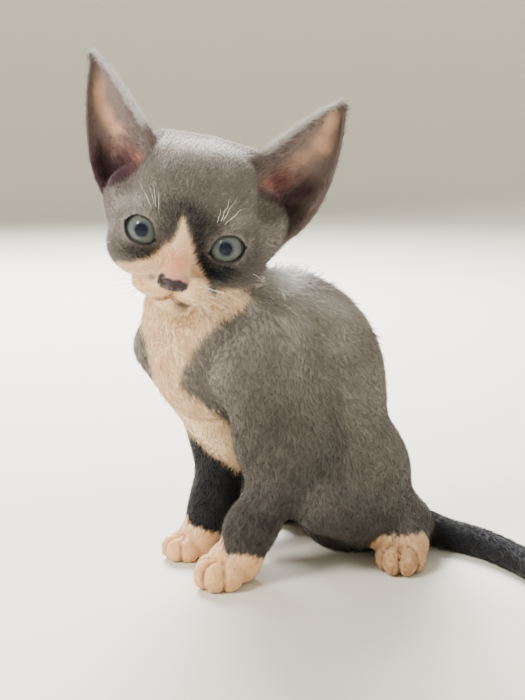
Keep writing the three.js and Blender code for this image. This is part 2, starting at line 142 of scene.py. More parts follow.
@dataclass(frozen=True)
class Limb:
    """A form between two round ends, which may have different radii."""

    start: Triple
    end: Triple
    start_radius: float
    end_radius: float

    def distance(self, points: Array) -> Array:
        """Measures points against the limb.

        Args:
            points: places in millimetres.

        Returns:
            Distances to its surface, less than zero inside.
        """
        axis = np.asarray(self.end, float) - np.asarray(self.start, float)
        length2 = float(axis @ axis)
        taper = self.start_radius - self.end_radius
        flat2 = length2 - taper * taper
        out = points - np.asarray(self.start)
        along = out @ axis
        rest = along - length2
        side2 = ((out * length2 - along[:, None] * axis) ** 2).sum(1)
        end2 = rest * rest * length2
        start2 = along * along * length2
        k = math.copysign(1.0, taper) * taper * taper * side2
        at_end = np.sqrt(side2 + end2) / length2 - self.end_radius
        at_start = np.sqrt(side2 + start2) / length2 - self.start_radius
        between = (np.sqrt(side2 * flat2 / length2) + along * taper) / length2 - self.start_radius
        ended = np.sign(rest) * flat2 * end2 > k
        started = np.sign(along) * flat2 * start2 < k
        return np.where(ended, at_end, np.where(started, at_start, between))


def soften(a: Array, b: Array, width: float) -> Array:
    """Joins two distances with a rounded seam.

    Args:
        a: distances to one form.
        b: distances to the other.
        width: how wide the seam is rounded.

    Returns:
        Distances to both as one form.
    """
    h = np.maximum(width - np.abs(a - b), 0.0) / width
    return np.minimum(a, b) - h * h * width * 0.25


def hollowed(a: Array, b: Array, width: float) -> Array:
    """Takes the form of b out of the form of a, with a rounded rim of the given width."""
    return -soften(-a, b, width)


@dataclass(frozen=True)
class Blend:
    """Several forms joined with rounded seams."""

    width: float
    forms: tuple

    def distance(self, points: Array) -> Array:
        """Measures points against the joined form.

        Args:
            points: places in millimetres.

        Returns:
            Distances to its surface, less than zero inside.
        """
        total = np.full(len(points), FAR)
        for form in self.forms:
            total = soften(total, form.distance(points), self.width)
        return total


def pair(make: Callable[[float], Any]) -> list:
    """The same form on the left and on the right."""
    return [make(side) for side in SIDES.values()]


def smooth(low: float, high: float, value: Array) -> Array:
    """A smooth step from 0 at low to 1 at high."""
    t = np.clip((value - low) / (high - low), 0.0, 1.0)
    return t * t * (3.0 - 2.0 * t)


def unit(vectors: Array) -> Array:
    """Vectors of length one."""
    return vectors / np.maximum(np.linalg.norm(vectors, axis=1, keepdims=True), 1e-9)


# Meshes


def ring_faces(rings: int, around: int, first: int = 0) -> list[tuple]:
    """Faces of four vertices each between rings of vertices that follow one another.

    Args:
        rings: how many rings there are.
        around: vertices on each ring.
        first: the number of the first vertex.

    Returns:
        The faces.
    """
    faces = []
    for start in range(first, first + (rings - 1) * around, around):
        for n in range(around):
            a, b = start + n, start + (n + 1) % around
            faces.append((a, b, b + around, a + around))
    return faces


def shown(name: str, data: Any) -> bpy.types.Object:
    """Puts something in the scene.

    Args:
        name: the object's name.
        data: its mesh, lamp or camera.

    Returns:
        The object.
    """
    item = bpy.data.objects.new(name, data)
    bpy.context.scene.collection.objects.link(item)
    return item


def smooth_mesh(name: str, points: Array, faces: list) -> bpy.types.Mesh:
    """Makes a mesh with smooth faces.

    Args:
        name: the mesh's name.
        points: its vertices.
        faces: the numbers of each face's vertices.

    Returns:
        The mesh.
    """
    mesh = bpy.data.meshes.new(name)
    mesh.from_pydata(np.asarray(points).tolist(), [], faces)
    mesh.polygons.foreach_set("use_smooth", [True] * len(faces))
    return mesh


def piece_of(name: str, points: Array, faces: list, material: bpy.types.Material) -> bpy.types.Object:
    """Makes a piece with its faces turned outwards.

    Args:
        name: its name.
        points: its vertices in millimetres, in the forms' own frame.
        faces: the numbers of each face's vertices.
        material: its material.

    Returns:
        The piece, in the scene.
    """
    mesh = smooth_mesh(name, (points + ORIGIN_SHIFT) * MM, faces)
    mesh.materials.append(material)
    sheet = bmesh.new()
    sheet.from_mesh(mesh)
    bmesh.ops.recalc_face_normals(sheet, faces=sheet.faces)
    sheet.to_mesh(mesh)
    sheet.free()
    return shown(name, mesh)


def write(mesh: bpy.types.Mesh, name: str, values: Array, kind: str = "FLOAT") -> None:
    """Writes an attribute of a mesh's vertices.

    Args:
        mesh: the mesh.
        name: the attribute's name.
        values: one value or row for each vertex.
        kind: the attribute's type.
    """
    slot = {"FLOAT": "value", "FLOAT_VECTOR": "vector", "FLOAT_COLOR": "color"}[kind]
    data = mesh.attributes.new(name, kind, "POINT").data
    data.foreach_set(slot, np.asarray(values, np.float32).ravel())


def corner_vertices(mesh: bpy.types.Mesh) -> Array:
    """Finds the vertex at each corner of a mesh's faces.

    Args:
        mesh: the mesh.

    Returns:
        The vertices' numbers.
    """
    corners = np.empty(len(mesh.loops), np.int64)
    mesh.loops.foreach_get("vertex_index", corners)
    return corners


def onto_surface(
    distance: Callable[[Array], Array], points: Array, rounds: int, step: float = 0.04, stride: float = 0.9
) -> Array:
    """Moves points onto a surface along its slope.

    Args:
        distance: gives distances to the surface.
        points: places near it.
        rounds: how often each is moved.
        step: how far apart the slope is measured.
        stride: the furthest that a point is moved at once.

    Returns:
        The moved points.
    """
    for _ in range(rounds):
        at = distance(points)
        slope = np.stack([distance(points + step * axis) - at for axis in np.eye(3)], axis=1) / step
        push = slope * (at / np.maximum((slope**2).sum(1), 0.3))[:, None]
        length = np.maximum(np.linalg.norm(push, axis=1, keepdims=True), 1e-9)
        points = points - push * np.minimum(1.0, stride / length)
    return points


def to_line(flat: Array, a: Array, b: Array) -> Array:
    """Measures places on a plane against a straight line between two ends.

    Args:
        flat: the places.
        a: one end.
        b: the other.

    Returns:
        Distances to the line.
    """
    run = b - a
    t = np.clip(((flat - a) @ run) / max(float(run @ run), 1e-9), 0.0, 1.0)
    return np.linalg.norm(flat - a - t[:, None] * run, axis=1)


# Head


@dataclass(frozen=True)
class EyeFit:
    """One eye's place in the head, and the opening of its lids."""

    side: float
    spacing: float = 30.6  # between the centres of the eyeballs
    depth: float = 7.4  # the eyeball's centre behind the face plane
    radius: float = 8.4
    diverge: float = 8.0  # degrees that each eye faces outwards
    lid: float = 0.75  # thickness of the lids
    half_width: float = 6.5
    upper: float = 4.3  # from the lids' middle line to the upper rim
    lower: float = 4.6
    droop: float = 1.3  # how far the inner corner is drawn down
    slant: float = 13.0  # degrees that the outer corner is higher

    @property
    def centre(self) -> Array:
        """The eyeball's centre in the head's frame."""
        return np.array([self.side * self.spacing / 2, self.depth, 0.0])

    @property
    def socket(self) -> Place:
        """The socket's frame: -y ahead, x to the kitten's left, along the lids."""
        return Place(self.centre, turned(self.side * self.diverge, 0.0, -self.side * self.slant))

    def rim(self, points: Array) -> Array:
        """Distance to the almond outline of the lids, seen from straight ahead, less than zero inside.

        Args:
            points: places in the head's frame.

        Returns:
            One distance for each point.
        """
        local = self.socket.inward(points)
        share = local[:, 0] * self.side / self.half_width
        far = np.abs(share)
        rise = local[:, 2] + self.droop * np.clip(-share, 0.0, 1.15) ** 2
        within = np.clip(1.0 - np.minimum(far, 1.0) ** 2.5, 0.0, 1.0) ** 0.72
        lids = np.maximum(rise - self.upper * within, -rise - self.lower * within) * 0.9
        beyond = np.hypot((far - 1.0) * self.half_width, rise)
        return np.where(far < 1.0, lids, beyond)

    def opened(self, head: Array, points: Array) -> Array:
        """Adds the lids to the head and cuts their opening.

        Args:
            head: distances to the head.
            points: the same places in the head's frame.

        Returns:
            Distances to the head with this eye's lids.
        """
        local = self.socket.inward(points)
        from_centre = np.linalg.norm(local, axis=1)
        shell = from_centre - (self.radius + self.lid)
        head = soften(head, shell, 3.0)
        tunnel = np.maximum(self.rim(points), local[:, 1] + 1.0)
        return hollowed(head, tunnel, 0.5)


@dataclass(frozen=True)
class EarFit:
    """One ear flap: its edges run from base to tip, in the head's frame for the left side."""

    side: float
    turn: float
    spread: float
    inner: tuple = ((16, 14, 31), (26, 15, 44), (37, 17, 54.5), (45.5, 20, 60.5))
    outer: tuple = ((35, 26, 3), (51.5, 28, 14), (50, 25, 50), (45.5, 20, 60.5))
    cup: float = 15.0
    root: tuple = (24, 20, 16)
    rows: int = 44
    columns: int = 36
    wall: float = 1.15  # thickness of the flap, without its fur
    # folds inside the ear: half thickness of the middle, then points as u, v and how far ahead of the flap
    folds: tuple = (
        (0.7, ((-0.66, 0.04, 0.4), (-0.52, 0.18, 0.4), (-0.30, 0.30, 0.2))),
        (0.6, ((-0.28, 0.02, 0.4), (-0.24, 0.15, 0.4), (-0.05, 0.27, 0.2))),
        (0.5, ((0.16, 0.02, 0.4), (0.20, 0.14, 0.3), (0.30, 0.24, 0.2))),
        (0.9, ((0.90, 0.10, 0.6), (0.93, 0.22, 0.6), (0.90, 0.33, 0.4))),
        (0.6, ((0.90, 0.33, 0.4), (0.80, 0.38, 0.3))),
    )
    fold_rise: float = 1.5  # how far the folds stand out from the flap
    fold_slope: float = 2.2  # width of their slopes

    def on_edge(self, edge: tuple, v: Array) -> Array:
        """Points of an edge curve, at shares v of its run."""
        r = 1.0 - v
        return np.stack([r**3, 3 * r * r * v, 3 * r * v * v, v**3], axis=-1) @ np.asarray(edge, float)

    def point(self, u: Array, v: Array) -> Array:
        """Points on the middle of the flap, in the head's frame.

        Args:
            u: across, from the inner edge at -1 to the outer edge at 1.
            v: from the base at 0 to the tip at 1.

        Returns:
            One point for each pair.
        """
        a = self.on_edge(self.inner, v)
        b = self.on_edge(self.outer, v)
        share = ((u + 1.0) / 2.0)[..., None]
        bulge = self.cup * (1.0 - v) ** 0.7 * (1.0 - u * u)
        bend = np.stack([bulge * 0.12, bulge * 0.97, -bulge * 0.2], axis=-1)
        p = a + (b - a) * share + bend
        lean = Place(self.root, turned(self.turn, 0.0, self.spread))
        p = lean.outward(p - np.asarray(self.root, float))
        return p * np.array([self.side, 1.0, 1.0])

    def grid(self) -> tuple[Array, Array]:
        """The flap's middle as a grid.

        Returns:
            Its points, and the u and v of each.
        """
        u, v = np.meshgrid(np.linspace(-0.965, 0.965, self.columns), np.linspace(0.0, 0.965, self.rows))
        return self.point(u, v).reshape(-1, 3), np.stack([u.ravel(), v.ravel()], axis=1)


class EarFlap:
    """The thin flap of one ear, as a distance and as the place of the nearest point on it."""

    search = 7.0  # how far round the flap points are measured against it

    def __init__(self, fit: EarFit) -> None:
        """Makes the flap's middle as a mesh that can be searched.

        Args:
            fit: the ear's sizes.
        """
        self.fit = fit
        self.points, self.where = fit.grid()
        faces = []
        for row in range(fit.rows - 1):
            for column in range(fit.columns - 1):
                a = row * fit.columns + column
                faces.append((a, a + 1, a + fit.columns + 1, a + fit.columns))
        self.tree = BVHTree.FromPolygons([Vector(p) for p in self.points], faces)
        folds = []
        for fat, line in fit.folds:
            middle = self.inner_line(line)
            folds += [Limb(a, b, fat, fat) for a, b in zip(middle[:-1], middle[1:])]
        self.folds = Blend(0.8, tuple(folds))
        self.low = self.points.min(0) - self.search
        self.high = self.points.max(0) + self.search

    def inner_line(self, line: tuple) -> Array:
        """Points just in front of the flap's middle, given as u, v and how far ahead."""
        u, v, ahead = np.asarray(line, float).T
        return self.fit.point(u, v) + np.stack([0 * u, -ahead, 0 * u], axis=1)

    def nearest(self, points: Array) -> tuple[Array, Array, Array]:
        """The nearest place on the flap.

        Args:
            points: places in the head's frame.

        Returns:
            Distances to the flap's middle, the u and v there, and which side of the flap each point is on,
            above zero for the inside of the ear.
        """
        gap = np.full(len(points), FAR)
        where = np.zeros((len(points), 2))
        side = np.zeros(len(points))
        columns = self.fit.columns
        for i in np.nonzero(((points > self.low) & (points < self.high)).all(1))[0]:
            spot, normal, face, gap[i] = self.tree.find_nearest(points[i])
            where[i] = self.where[face // (columns - 1) * columns + face % (columns - 1)]
            out = points[i] - np.array(spot)
            side[i] = self.fit.side * (out @ np.array(normal))
        return gap, where, side

    def distance(self, points: Array, extra: float, fine: bool) -> Array:
        """Distance to the flap's surface.

        Args:
            points: places in the head's frame.
            extra: how much thicker than life the flap is taken to be.
            fine: whether the folds inside the ear are there.

        Returns:
            One distance for each point.
        """
        gap, where, side = self.nearest(points)
        wall = self.fit.wall * (1.25 - 0.45 * where[:, 1]) + extra
        result = gap - wall / 2
        if fine:
            near = gap < 6.0
            fold = self.folds.distance(points[near])
            swell = smooth(self.fit.fold_slope, -0.3, fold) * smooth(-0.3, 0.6, side[near])
            result[near] -= self.fit.fold_rise * swell
        return result


@dataclass
class Head:
    """The kitten's head: skull, face, nose, lips, lids and ears. Its frame has its origin midway between
    the eyes, x to the kitten's left, -y ahead and z up."""

    at: tuple = (6.5, -51.6, 131.6)
    turn: float = 57.0
    lift: float = 2.0
    roll: float = 12.5
    coat: float = 0.7  # depth of the coat on the face
    middle: tuple = (0, 15, 12)  # of the box that holds the head and the ears
    reach: tuple = (62, 60, 64)  # of that box to each side
    # line between the lips and the groove up to the nose, as x away from the middle and z
    lip_line: tuple = ((0.0, -20.4), (2.6, -22.0), (6.2, -23.2), (9.6, -23.3), (12.6, -22.2))
    philtrum: tuple = ((0.0, -17.0), (0.0, -20.4))
    groove: float = 1.3  # depth of the line between the lips
    ear_turn: dict = field(default_factory=lambda: {"left": 0.0, "right": 12.0})
    ear_spread: dict = field(default_factory=lambda: {"left": 0.0, "right": 6.0})

    def __post_init__(self) -> None:
        """Works out the head's forms."""
        self.place = Place(self.at, turned(self.turn, self.lift, self.roll))
        self.skull = Blend(8, (
            Ball((0, 26, 11), (25.5, 27.5, 25.5)),
            Ball((0, 13, 14), (22, 20, 20)),
            *pair(lambda s: Ball((s * 15.5, 24, 22), (11.5, 15, 13), 0, 0, s * 20)),
            *pair(lambda s: Ball((s * 17.5, 22, -5.5), (12.5, 17.5, 14))),
            *pair(lambda s: Ball((s * 28, 28, 7), (8.5, 10, 12))),
            *pair(lambda s: Ball((s * 18, 14, -8), (10, 13, 9.5))),
        ))
        self.face = Blend(5, (
            *pair(lambda s: Ball((s * 16, 12, 0), (10.5, 8.2, 9.5))),
            Limb((0, 6, 6), (0, -4.6, -12.5), 8.6, 5),
            Ball((0, 12, -15), (16, 14, 10)),
        ))
        self.muzzle = Blend(2.4, tuple(pair(lambda s: Ball((s * 7.5, -2.0, -17.5), (8.6, 8.4, 6.1)))))
        self.chin = Ball((0, 0.4, -23.2), (7.4, 8.2, 5.2))
        self.nose = Blend(1.4, (
            Ball((0, -7.9, -14.0), (4.6, 4.0, 3.1)),
            *pair(lambda s: Ball((s * 3.5, -8.2, -15.1), (2.2, 2.7, 2.1))),
            Ball((0, -8.9, -16.3), (1.9, 2.7, 2.4)),
        ))
        # nostrils, and the slits beside them
        self.nose_cuts = (
            *pair(lambda s: Limb((s * 2.1, -12.3, -15.0), (s * 4.2, -10.2, -15.3), 0.95, 0.8)),
            *pair(lambda s: Limb((s * 5.0, -9.2, -16.4), (s * 2.6, -11.4, -17.4), 0.5, 0.4)),
        )
        self.ear_hollows = (
            *pair(lambda s: Ball((s * 31.5, 17, 25), (10.5, 13, 15), 0, 0, s * 25)),
            *pair(lambda s: Ball((s * 27, 15, 36), (10.5, 13, 11))),
        )
        self.eyes = {name: EyeFit(s) for name, s in SIDES.items()}
        self.ears = {
            name: EarFlap(EarFit(s, self.ear_turn[name], self.ear_spread[name])) for name, s in SIDES.items()
        }

    def mouth(self, q: Array) -> Array:
        """Distance to the line between the lips and up to the nose, seen from ahead.

        Args:
            q: places in the head's frame.

        Returns:
            One distance for each point, large behind the mouth's corners.
        """
        least = np.full(len(q), FAR)
        flat = np.stack([np.abs(q[:, 0]), q[:, 2]], axis=1)
        for line in (self.lip_line, self.philtrum):
            for a, b in zip(np.asarray(line[:-1], float), np.asarray(line[1:], float)):
                least = np.minimum(least, to_line(flat, a, b))
        return np.where(q[:, 1] < 3.0, least, FAR)

    def distance(self, points: Array, ear_extra: float, fine: bool) -> Array:
        """Distance to the skin of the head.

        Args:
            points: places in the outer frame, in millimetres.
            ear_extra: how much thicker than life the ear flaps are taken to be.
            fine: whether the creases of the face are cut.

        Returns:
            One distance for each point.
        """
        q = self.place.inward(points)
        near = (np.abs(q - np.array(self.middle)) < np.array(self.reach)).all(1)
        result = np.full(len(points), FAR)
        if not near.any():
            return result
        q = q[near]
        face = soften(self.face.distance(q), self.muzzle.distance(q), 2.8)
        base = soften(self.skull.distance(q), face, 6.0)
        base = soften(base, self.chin.distance(q), 1.6)
        base = base + self.coat
        for hollow in self.ear_hollows:
            base = hollowed(base, hollow.distance(q), 2.5)
        base = soften(base, self.nose.distance(q) + 0.25, 2.2)
        for ear in self.ears.values():
            base = soften(base, ear.distance(q, ear_extra, fine), 3.0)
        for eye in self.eyes.values():
            base = eye.opened(base, q)
        if fine:
            base = hollowed(base, np.maximum(self.mouth(q) - 0.35, -base - self.groove), 0.9)
            for cut in self.nose_cuts:
                base = hollowed(base, cut.distance(q), 0.5)
        result[near] = base
        return result


# Body


@dataclass(frozen=True)
class PawFit:
    """One paw: its middle on the floor, its heading in degrees outwards from straight ahead, its size."""

    at: tuple
    heading: float
    size: float
    sink: float = 1.2

    @property
    def place(self) -> Place:
        """The paw's frame on the floor."""
        return Place((*self.at, -self.sink), turned(self.heading))

    def toe_middles(self) -> list:
        """Places the toes.

        Returns:
            The middles of the four toes in the paw's frame, with the heading of each.
        """
        result = []
        for spread, reach in ((-38, 7.2), (-13, 9.4), (13, 9.4), (38, 7.2)):
            x = reach * 1.25 * math.sin(math.radians(spread))
            y = -reach * math.cos(math.radians(spread))
            result.append((np.array([x, y, 6.0]) * self.size, spread))
        return result

    def cleft(self, points: Array) -> Array:
        """Measures points against the clefts between the toes.

        Args:
            points: places in millimetres.

        Returns:
            Distances to the nearest cleft, large away from the toes.
        """
        flat = self.place.inward(points)[:, :2]
        least = np.full(len(points), FAR)
        toes = [middle[:2] for middle, _ in self.toe_middles()]
        for a, b in zip(toes[:-1], toes[1:]):
            out = flat - (a + b) / 2
            across = unit((b - a)[None])[0]
            beyond = out @ np.array([across[1], -across[0]])
            gap = np.abs(out @ across) + FAR * (np.abs(beyond - 1.5) > 4.5)
            least = np.minimum(least, gap)
        return least

    def form(self) -> Blend:
        """Shapes the palm and four toes on a fan.

        Returns:
            The paw's form.
        """
        palm, toe = np.array([10.2, 10.5, 8.4]) * self.size, np.array([4.3, 5.8, 6]) * self.size
        forms = [Ball(self.place.outward(np.array([0, 2, 8]) * self.size), palm, self.heading)]
        for middle, spread in self.toe_middles():
            forms.append(Ball(self.place.outward(middle), toe, self.heading - spread * 0.5))
        return Blend(0.9, tuple(forms))


@dataclass
class Body:
    """Trunk, neck, legs, paws and tail."""

    # depth of the coat, and width of the seam with the trunk, for each kind of part
    coats: dict = field(default_factory=lambda: {"trunk": 2.0, "leg": 1.2, "tail": 1.2, "paw": 0.8})
    seams: dict = field(default_factory=lambda: {
        "trunk": 0.0, "leg_fore": 5.0, "leg_hind": 9.0, "tail": 6.0, "paw": 4.0,
    })
    wrist_back: float = 9.0  # the wrists' distance behind the middle of the paws
    # along the tail: x, y, z and half its thickness
    tail: tuple = (
        (4, 44, 12, 8.5), (25, 56, 6.4, 7.4), (44, 63, 5.8, 6.8), (67, 64, 5.3, 6.3),
        (86, 60.5, 4.8, 5.8), (104, 58.5, 4.3, 5.3), (119, 60.5, 3.8, 4.8), (129, 66, 2.9, 3.9),
    )

    def __post_init__(self) -> None:
        """Works out the body's forms."""
        self.trunk = Blend(16, (
            Ball((-4, -35, 84), (23, 25, 26), 0, -12),
            Ball((-1, -6, 96), (21, 26, 20), 0, -20),
            Ball((0, 5, 79), (26, 36, 31), 0, -30),
            Ball((0, 14, 52), (28, 25.5, 34), 0, 18),
            Ball((0, 23, 22), (28, 21, 25)),
            Ball((0, 33, 14), (20, 19, 15)),
        ))
        self.neck = Blend(10, (
            Ball((-10, -33.5, 103), (22.5, 17.5, 20), 60),
            Limb((-8, -34, 104), (-16, -32.5, 122), 18, 16),
            Ball((-15.5, -45.5, 100), (11.5, 11.5, 15)),
        ))
        self.paws = {
            "fore_left": PawFit((15.8, -38.4), 18, 1.1),
            "fore_right": PawFit((-16.5, -37), -2, 0.95),
            "hind_left": PawFit((34.5, 29), 50, 1.08),
            "hind_right": PawFit((-34, 22), -34, 1.08),
        }
        self.legs = {
            "fore_left": self.foreleg((17, -35, 82), (19.5, -8, 52), "fore_left"),
            "fore_right": self.foreleg((-22, -47, 87), (-17, -23, 50), "fore_right"),
            "hind_left": self.hindleg(1, "hind_left"),
            "hind_right": self.hindleg(-1, "hind_right"),
        }
        run = self.tail_run()
        self.tail_form = Blend(0.8, tuple(Limb(a[:3], b[:3], a[3], b[3]) for a, b in zip(run[:-1], run[1:])))

    def tail_run(self, parts: int = 4) -> Array:
        """Draws the tail's smooth curve.

        Args:
            parts: points from each given place to the next.

        Returns:
            Points with half the thickness at each.
        """
        knots = np.asarray(self.tail, float)
        slopes = np.gradient(knots, axis=0)
        rows = []
        for n in range(len(knots) - 1):
            for t in np.arange(parts) / parts:
                a = knots[n] * (2 * t**3 - 3 * t**2 + 1) + slopes[n] * (t**3 - 2 * t**2 + t)
                rows.append(a + knots[n + 1] * (3 * t**2 - 2 * t**3) + slopes[n + 1] * (t**3 - t**2))
        return np.array([*rows, knots[-1]])

    def foreleg(self, shoulder: Triple, elbow: Triple, paw: str) -> Blend:
        """Shapes a foreleg from the shoulder to the wrist.

        Args:
            shoulder: its upper end.
            elbow: its elbow.
            paw: the name of its paw.

        Returns:
            The leg's form.
        """
        x, y = self.paws[paw].at
        wrist = (x, y + self.wrist_back, 20)
        # the near foreleg is fuller in front of its elbow
        fullness = {
            "fore_left": Ball((14.5, -24, 52), (10.5, 11.5, 20), 0, 18),
            "fore_right": Ball(elbow, (12, 12, 12)),
        }
        return Blend(8, (
            fullness[paw],
            Limb(shoulder, elbow, 13, 12),
            Ball((math.copysign(16, shoulder[0]), -20, 84), (11, 18, 22), 0, 18),
            Limb(elbow, wrist, 12, 9.8),
            Limb(wrist, (x, y + 3, 9), 9.6, 8.4),
        ))

    def hindleg(self, side: float, paw: str) -> Blend:
        """Shapes a folded hind leg from the thigh to the hock.

        Args:
            side: 1 for the left, -1 for the right.
            paw: the name of its paw.

        Returns:
            The leg's form.
        """
        x, y = self.paws[paw].at
        hock = (side * 24, 40, 13)
        return Blend(10, (
            Ball((side * 19, 20, 33), (14, 25, 25), side * 8, 30),
            Limb((side * 27, -4, 27), hock, 11, 9),
            Limb(hock, (x, y + 3, 9), 8.5, 7.6),
        ))

    def parts(self, points: Array) -> dict[str, Array]:
        """Measures points against each part of the body, out to the tips of the coat.

        Args:
            points: places in millimetres.

        Returns:
            Distances to each part, by its name.
        """
        result = {"trunk": soften(self.trunk.distance(points), self.neck.distance(points), 12)}
        for name, leg in self.legs.items():
            result[f"leg_{name}"] = leg.distance(points)
        result["tail"] = self.tail_form.distance(points)
        for name, paw in self.paws.items():
            result[f"paw_{name}"] = paw.form().distance(points)
        return result

    def coat_depth(self, parts: dict[str, Array]) -> Array:
        """Finds how deep the coat is.

        Args:
            parts: distances to each part.

        Returns:
            Depths, blended between the parts near each point.
        """
        total = 0.0
        weight = 0.0
        for name, distance in parts.items():
            near = np.exp(-np.clip(distance, -20, 40) / 2.5)
            total = total + self.coats[name.split("_")[0]] * near
            weight = weight + near
        return total / weight

    def distance(self, points: Array) -> Array:
        """Measures points against the skin of the body.

        Args:
            points: places in millimetres.

        Returns:
            Distances to the skin, less than zero inside.
        """
        parts = self.parts(points)
        total = parts["trunk"]
        for name, distance in parts.items():
            width = next(width for kind, width in self.seams.items() if name.startswith(kind))
            if width:
                total = soften(total, distance, width)
        total = total + self.coat_depth(parts)
        for name, paw in self.paws.items():
            near = np.nonzero(parts[f"paw_{name}"] < 4.0)[0]
            line = np.maximum(paw.cleft(points[near]) - 0.3, -total[near] - 0.8)
            total[near] = hollowed(total[near], line, 1.2)
        return total

    def near_toes(self, points: Array) -> Array:
        """Which points are near enough to the paws to need a finer mesh."""
        gap = np.min([paw.form().distance(points) for paw in self.paws.values()], axis=0)
        return (gap < 2.0) & (points[:, 2] < 17.0)


# Skin


def surface_net(values: Array, origin: Array, step: float) -> tuple[Array, Array]:
    """Meshes the zero surface of a block of distances.

    Each crossed cell gets a vertex, and each crossed edge a face.

    Args:
        values: distances on a regular block of points.
        origin: the first point of the block.
        step: the spacing of the points.

    Returns:
        The vertices, and faces of four vertices each.
    """
    inside = values < 0
    count = np.zeros(tuple(n - 1 for n in values.shape), np.int8)
    corners = [(i, j, k) for i in (0, 1) for j in (0, 1) for k in (0, 1)]
    for corner in corners:
        count += inside[tuple(slice(s, n - 1 + s) for s, n in zip(corner, values.shape))]
    cells = np.argwhere((count > 0) & (count < 8))
    number = np.full(count.shape, -1, np.int64)
    number[tuple(cells.T)] = np.arange(len(cells))
    total = np.zeros((len(cells), 3))
    crossings = np.zeros(len(cells))
    for a in corners:
        for axis in range(3):
            if a[axis]:
                continue
            b = tuple(1 if n == axis else a[n] for n in range(3))
            va = values[tuple((cells + a).T)]
            vb = values[tuple((cells + b).T)]
            crossed = (va < 0) != (vb < 0)
            t = np.where(crossed, va / np.where(crossed, va - vb, 1.0), 0.0)
            spot = cells + a + t[:, None] * (np.array(b) - np.array(a))
            total += spot * crossed[:, None]
            crossings += crossed
    points = origin + step * total / crossings[:, None]
    faces = []
    rings = (
        ((0, -1, -1), (0, 0, -1), (0, 0, 0), (0, -1, 0)),
        ((-1, 0, -1), (-1, 0, 0), (0, 0, 0), (0, 0, -1)),
        ((-1, -1, 0), (0, -1, 0), (0, 0, 0), (-1, 0, 0)),
    )
    for axis in range(3):
        ahead = np.roll(inside, -1, axis)
        crossed = np.argwhere(inside != ahead)
        crossed = crossed[crossed[:, axis] < values.shape[axis] - 1]
        ring = np.stack([number[tuple((crossed + np.array(step_to)).T)] for step_to in rings[axis]], axis=1)
        flip = ~inside[tuple(crossed.T)]
        ring[flip] = ring[flip][:, ::-1]
        faces.append(ring)
    return points, np.concatenate(faces)


